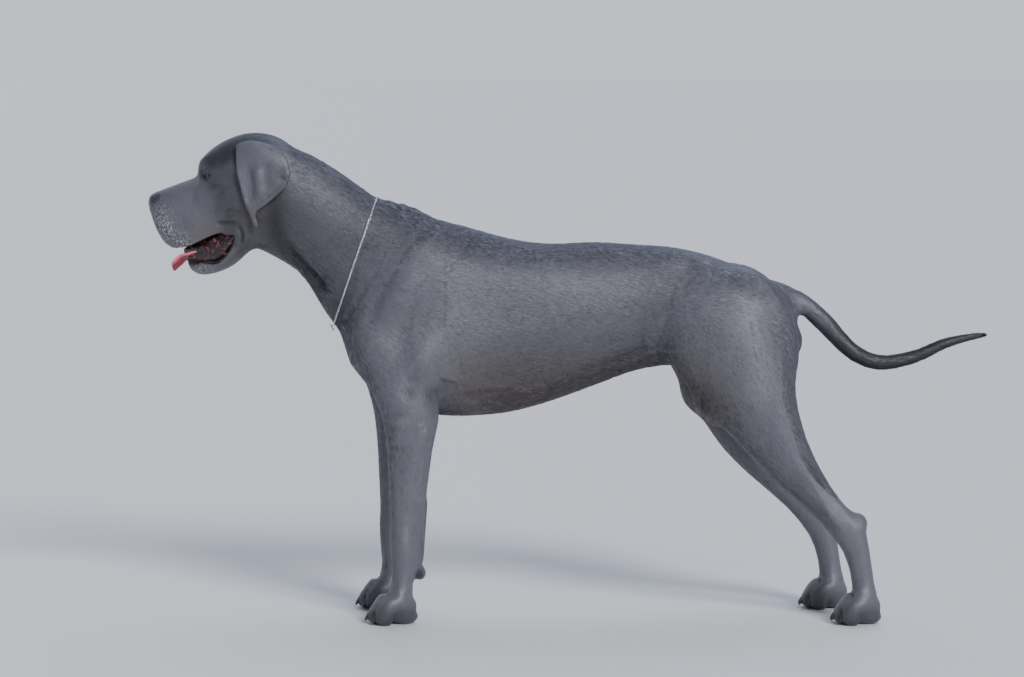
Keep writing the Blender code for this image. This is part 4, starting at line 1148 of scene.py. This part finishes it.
# hair evens out the small facets of the skin under it, except on the head
edges = np.array([edge.vertices[:] for edge in hide.data.edges])
even_normals = hide_normals
for _ in range(6):
    spread = even_normals.copy()
    for axis in range(3):
        spread[:, axis] += np.bincount(edges[:, 0], even_normals[edges[:, 1], axis], len(spread))
        spread[:, axis] += np.bincount(edges[:, 1], even_normals[edges[:, 0], axis], len(spread))
    even_normals = spread / np.linalg.norm(spread, axis=1)[:, None]
evened = between(hide_points[:, 0], -0.52, -0.44)
hide_normals = hide_normals + (even_normals - hide_normals) * evened[:, None]
hide.data.normals_split_custom_set_from_vertices(hide_normals.tolist())
hide_parts = np.array([owners[part_tree.find(point)[1]] for point in hide_points])
hide_bare = markings(hide_points)[0].max(axis=1)
hide.data.calc_loop_triangles()
flat = np.empty(len(hide.data.loop_triangles) * 3, np.int32)
hide.data.loop_triangles.foreach_get("vertices", flat)
hide_triangles = flat.reshape(-1, 3)
corners = hide_points[hide_triangles]
triangle_areas = np.linalg.norm(np.cross(corners[:, 1] - corners[:, 0], corners[:, 2] - corners[:, 0]),
                                axis=1) / 2

# where each part of the skin lies on the flattened hide: left, bottom, width and height of its rectangle
HIDE_SHEET = {"torso": (0.01, 0.58, 0.98, 0.41), "neck": (0.01, 0.42, 0.30, 0.14),
              "head": (0.33, 0.38, 0.33, 0.18),
              "jaw": (0.68, 0.44, 0.09, 0.12), "ear_left": (0.79, 0.44, 0.09, 0.12),
              "ear_right": (0.90, 0.44, 0.09, 0.12), "foreleg_left": (0.01, 0.20, 0.23, 0.16),
              "foreleg_right": (0.26, 0.20, 0.23, 0.16), "hindleg_left": (0.51, 0.20, 0.23, 0.16),
              "hindleg_right": (0.76, 0.20, 0.23, 0.16), "tail_base": (0.01, 0.04, 0.30, 0.14),
              "tail_middle": (0.33, 0.04, 0.30, 0.14), "tail_tip": (0.65, 0.04, 0.30, 0.14)}
TAIL_LINE = ((0.46, 0.634), (0.54, 0.560), (0.61, 0.514), (0.70, 0.527), (0.80, 0.563), (0.85, 0.570))
HIND_LINE = ((0.05, 0.589), (0.20, 0.545), (0.30, 0.452), (0.40, 0.378), (0.55, 0.325))  # height, place


def unwrap(points, parts):
    """Places of points of the skin on the flattened hide: along each part, and round it."""
    sheet = np.zeros((len(points), 2))
    for number, name in enumerate(PART_NAMES):
        of_part = parts == number
        spots = points[of_part]
        if name in ("head", "jaw") or "ear" in name:
            spots = in_head(spots)
        x, y, z = spots.T
        if "leg" in name:
            ahead = (RIGHT_FORE_LEAD if "fore" in name else RIGHT_HIND_LEAD) * ("right" in name)
            core = -0.33 - ahead if "fore" in name else np.interp(z, *np.array(HIND_LINE).T) - ahead
            track = 0.09 if "right" in name else -0.09
            along, turn = z / 0.62, np.arctan2(y - track, x - core)
        elif "tail" in name:
            along, turn = (x - 0.44) / 0.42, np.arctan2(y, z - np.interp(x, *np.array(TAIL_LINE).T))
        elif "ear" in name:
            side = 1 if "right" in name else -1
            along, turn = (x - 0.19) / 0.13, (z + 0.14) / 0.19 * math.pi * np.where(y * side > 0.069, 1, -1)
        elif name in ("head", "jaw"):
            along, turn = (x + 0.01) / 0.33, np.arctan2(y, z + (0.155 if name == "jaw" else 0.045))
        else:
            core = np.interp(x, (-0.58, -0.40, -0.30, 0.1), (0.83, 0.68, 0.63, 0.62))
            along, turn = (x + 0.60) / 1.08, np.arctan2(y, z - core)
        left, low, wide, high = HIDE_SHEET[name]
        sheet[of_part, 0] = left + wide * np.clip(along, 0, 1)
        sheet[of_part, 1] = low + high * (turn / (2 * math.pi) + 0.5)
    return sheet


def lie_of(points):
    """Which way the hair lies at each point of the skin."""
    x, _, z = points.T
    back, across, _ = in_head(points).T
    way = np.tile((1.0, 0.0, -0.32), (len(points), 1))

    def turn_to(direction, share):
        way[:] += (np.asarray(direction, float) - way) * share[:, None]

    turn_to((0.78, 0.0, -0.62), between(x, -0.30, -0.45))  # neck
    turn_to((0.55, 0.0, -0.85), between(z, 0.66, 0.50) * between(x, -0.16, -0.26))  # shoulder
    turn_to((0.12, 0.0, -1.0), between(z, 0.50, 0.40) * between(x, -0.10, -0.20))  # fore legs
    turn_to((0.50, 0.0, -0.87), between(z, 0.66, 0.54) * between(x, 0.14, 0.28))  # thighs
    turn_to((0.72, 0.0, -0.70), between(z, 0.46, 0.38) * between(x, 0.10, 0.20))
    turn_to((0.15, 0.0, -1.0), between(z, 0.21, 0.17) * between(x, 0.10, 0.20))
    turn_to((-0.5, 0.0, -0.6), between(z, 0.07, 0.04))  # over the toes
    on_tail = between(x, 0.455, 0.475) * (z > 0.44)
    line = np.array(TAIL_LINE)
    slope = np.interp(x, (line[1:, 0] + line[:-1, 0]) / 2, np.diff(line[:, 1]) / np.diff(line[:, 0]))
    turn_to((1.0, 0.0, 0.0), on_tail)
    way[:, 2] += on_tail * (slope - way[:, 2])
    turn_to(HEAD_TURNED @ (1.0, 0.0, -0.20), between(x, -0.52, -0.60))
    muzzle = between(back, 0.10, 0.03) * between(x, -0.60, -0.66)
    turn_to(HEAD_TURNED @ (0.7, 0.0, -0.75), muzzle)
    on_ear = between(np.abs(across), 0.055, 0.064) * between(back, 0.19, 0.20) * (x < -0.5)
    turn_to(HEAD_TURNED @ (0.05, 0.0, -1.0), on_ear)
    return way


SATIN = 0.11  # how unevenly the hair takes the light, as a slope
ROOT_DEPTH = 0.0004  # how deep a tuft starts in the hide
PATCH = 0.0015  # half the size of a tuft's place on the flattened hide


def on_hide(points):
    """The nearest places on the hide, and which way is out there."""
    found = [skin_tree.find_nearest(point) for point in points.tolist()]
    return np.array([hit[0] for hit in found]), np.array([hit[1] for hit in found])


def grow(name, chosen, count, length, width, lift, rings, seed, material):
    """Solid tufts on the chosen triangles of the hide. The length is in metres or a function of places, and
    lift is a slope."""
    draw = np.random.default_rng(seed)
    chances = triangle_areas * chosen
    picked = draw.choice(len(chances), count, p=chances / chances.sum())
    a, b = draw.random(count), draw.random(count)
    a, b = np.where(a + b > 1, 1 - a, a), np.where(a + b > 1, 1 - b, b)
    weights = np.stack((1 - a - b, a, b), axis=1)[:, :, None]
    three = hide_triangles[picked]
    root = (hide_points[three] * weights).sum(axis=1)
    out = (hide_normals[three] * weights).sum(axis=1)
    out /= np.linalg.norm(out, axis=1)[:, None]
    ahead = lie_of(root) + draw.normal(0, 0.10, (count, 3))
    ahead -= out * (ahead * out).sum(axis=1)[:, None]
    ahead /= np.linalg.norm(ahead, axis=1)[:, None] + 1e-9
    aside = np.cross(out, ahead)
    long = (length(root) if callable(length) else length) * draw.uniform(0.70, 1.25, count)
    broad = width * draw.uniform(0.75, 1.3, count)
    slope = lift * draw.uniform(0.6, 1.5, count)
    rows, sheet = [], []
    flat_place = unwrap(root, hide_parts[three[:, 0]])
    for k in range(rings):
        t = k / rings
        centre, out = on_hide(root + ahead * (long * t)[:, None]) if k else (root - out * ROOT_DEPTH, out)
        centre = centre + out * (long * slope * t)[:, None]
        for across, rise in ((-0.5, 0.0), (0.0, 0.42), (0.5, 0.0)):
            thin = broad * (1 - 0.45 * t)
            rows.append(centre + aside * (across * thin)[:, None] + out * (rise * thin)[:, None])
            sheet.append(flat_place + PATCH * np.array((across * 2, 2 * t - 1)))
    tip, tip_out = on_hide(root + ahead * long[:, None])
    rows.append(tip + tip_out * (long * slope)[:, None])
    sheet.append(flat_place + PATCH * np.array((0.0, 1.0)))
    per = len(rows)
    faces = [(0, 2, 1)]
    for k in range(rings - 1):
        for i, j in ((0, 1), (1, 2), (2, 0)):
            p, q = 3 * k + i, 3 * k + j
            faces += [(p, q, q + 3), (p, q + 3, p + 3)]
    top = 3 * (rings - 1)
    faces += [(top, top + 1, per - 1), (top + 1, top + 2, per - 1), (top + 2, top, per - 1)]
    faces = np.array(faces)[:, ::-1]
    every_point = np.stack(rows, axis=1).reshape(-1, 3)
    every_face = (faces[None] + (np.arange(count) * per)[:, None, None]).reshape(-1, 3)
    mesh = bpy.data.meshes.new(name)
    mesh.vertices.add(len(every_point))
    mesh.vertices.foreach_set("co", every_point.astype(np.float32).ravel())
    mesh.loops.add(every_face.size)
    mesh.loops.foreach_set("vertex_index", every_face.astype(np.int32).ravel())
    mesh.polygons.add(len(every_face))
    mesh.polygons.foreach_set("loop_start", np.arange(0, every_face.size, 3, dtype=np.int32))
    mesh.update(calc_edges=True)
    mesh.shade_smooth()
    # hair lies so flat that it takes light as the hide does
    sheen_way = out + draw.normal(0, SATIN, (count, 3))
    mesh.normals_split_custom_set_from_vertices(np.repeat(sheen_way, per, axis=0).tolist())
    bake_map = mesh.uv_layers.new(name="OFBake")
    every_place = np.stack(sheet, axis=1).reshape(-1, 2)[every_face.ravel()]
    bake_map.data.foreach_set("uv", every_place.astype(np.float32).ravel())
    made = added(name, mesh)
    for attribute, values in zip(("bare", "tones", "upright"), markings(root)):
        set_attribute(made, attribute, np.repeat(values, per, axis=0))
    mesh.materials.append(material)
    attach(made, "root")
    return made


def on_parts(*words):
    """1 for each triangle of the hide on the named parts that hair may grow on, 0 elsewhere."""
    numbers = [n for n, name in enumerate(PART_NAMES) if any(word in name for word in words)]
    return np.isin(hide_parts[hide_triangles[:, 0]], numbers) & (hide_bare[hide_triangles].max(axis=1) < 0.3)


hair = hair_material("short_blue_hair_tips", 0.0, 0.36)
triangle_middles = corners.mean(axis=1)
tri_x, _, tri_z = triangle_middles.T
TUFTS = 49000  # four faces each, so that a piece stays under 200,000
LONG_TUFTS = 19500  # ten faces each
trunk_parts = on_parts("torso", "neck")
grow("coat_body_under", trunk_parts, TUFTS, 0.011, 0.0012, 0.050, 1, 11, hair)
grow("coat_body_over", trunk_parts, TUFTS, 0.012, 0.0010, 0.065, 1, 12, hair)
grow("coat_legs", on_parts("leg"), TUFTS, lambda p: 0.005 + 0.006 * between(p[:, 2], 0.05, 0.45), 0.0010,
     0.055, 1, 13,
     hair)
grow("coat_head", on_parts("head", "jaw", "ear"), TUFTS,
     lambda p: 0.0035 + 0.003 * between(p[:, 0], -0.70, -0.58),
     0.0007, 0.060, 1, 14, hair)
grow("coat_tail", on_parts("tail"), LONG_TUFTS // 2, 0.012, 0.0011, 0.070, 2, 15, hair)
hide_out = hide_normals[hide_triangles].mean(axis=1)
rear = on_parts("hindleg", "torso") & (hide_out[:, 0] > 0.5) & (tri_x > 0.36) & (tri_z > 0.26)
belly = on_parts("torso") & (hide_out[:, 2] < -0.6) & (tri_x > -0.30)
nape = on_parts("torso", "neck") & (hide_out[:, 2] > 0.75)
grow("coat_fringe", rear * 3.0 + belly * 1.5 + nape * 1.0, LONG_TUFTS, 0.013, 0.0010, 0.11, 2, 16,
     hair)
tail_fringe = on_parts("tail") * (0.3 + 2.5 * (hide_out[:, 2] < -0.3) + 3.0 * (tri_x > 0.80))
grow("coat_tail_fringe", tail_fringe, LONG_TUFTS // 4, 0.013, 0.0010, 0.16, 2, 17, hair)


# Floor, light and camera
# A pale paper floor that runs on to the horizon, under an even grey sky with three soft far lights: cool from
# above and behind, brightest from the front right, and weak from the back left.

bpy.ops.mesh.primitive_plane_add(size=60, location=(0, 0, 0))
floor = bpy.context.object
floor.name = "floor"

# uncoated paper: matt, off-white, and with no pattern, so that shadows read clearly
paper = new_material("pale_paper", Base_Color=linear("#dcdad6"))[0]
floor.data.materials.append(paper)

world = bpy.data.worlds.new("studio")
bpy.context.scene.world = world
world.use_nodes = True
tree = world.node_tree
height = add_node(tree, "SeparateXYZ", {0: add_node(tree, "TexCoord").outputs["Generated"]}).outputs["Z"]
tree.links.new(ramp_node(tree, height, (0.0, "#e6e9ed"), (0.35, "#7f8798")),
               tree.nodes["Background"].inputs["Color"])

for name, spot, wide, power, tint in (("sky_light", (0.6, 1.4, 3.2), 45, 1.4, "#d2deff"),
                                      ("day_light", (2.0, -3.4, 3.0), 20, 3.5, "#f6f8ff"),
                                      ("far_light", (-2.6, 3.4, 2.2), 60, 0.6, "#ffffff")):
    light = bpy.data.lights.new(name, "SUN")
    light.color = linear(tint)[:3]
    light.angle = math.radians(wide)
    light.energy = power
    lamp = added(name, light)
    lamp.location = spot
    lamp.rotation_euler = (Vector((0, 0, 0.5)) - Vector(spot)).to_track_quat("-Z", "Y").to_euler()

VIEW_TARGET = Vector((-0.11212, 0.0, 0.56029))
VIEW_DISTANCE = 7.5
VIEW_HEIGHT = math.radians(6.0)
lens = bpy.data.cameras.new("camera")
lens.lens = 131.84
lens.sensor_width = 36
camera = added("camera", lens)
camera.location = VIEW_TARGET + VIEW_DISTANCE * Vector((0, -math.cos(VIEW_HEIGHT), math.sin(VIEW_HEIGHT)))
camera.rotation_euler = (VIEW_TARGET - camera.location).to_track_quat("-Z", "Y").to_euler()
bpy.context.scene.camera = camera
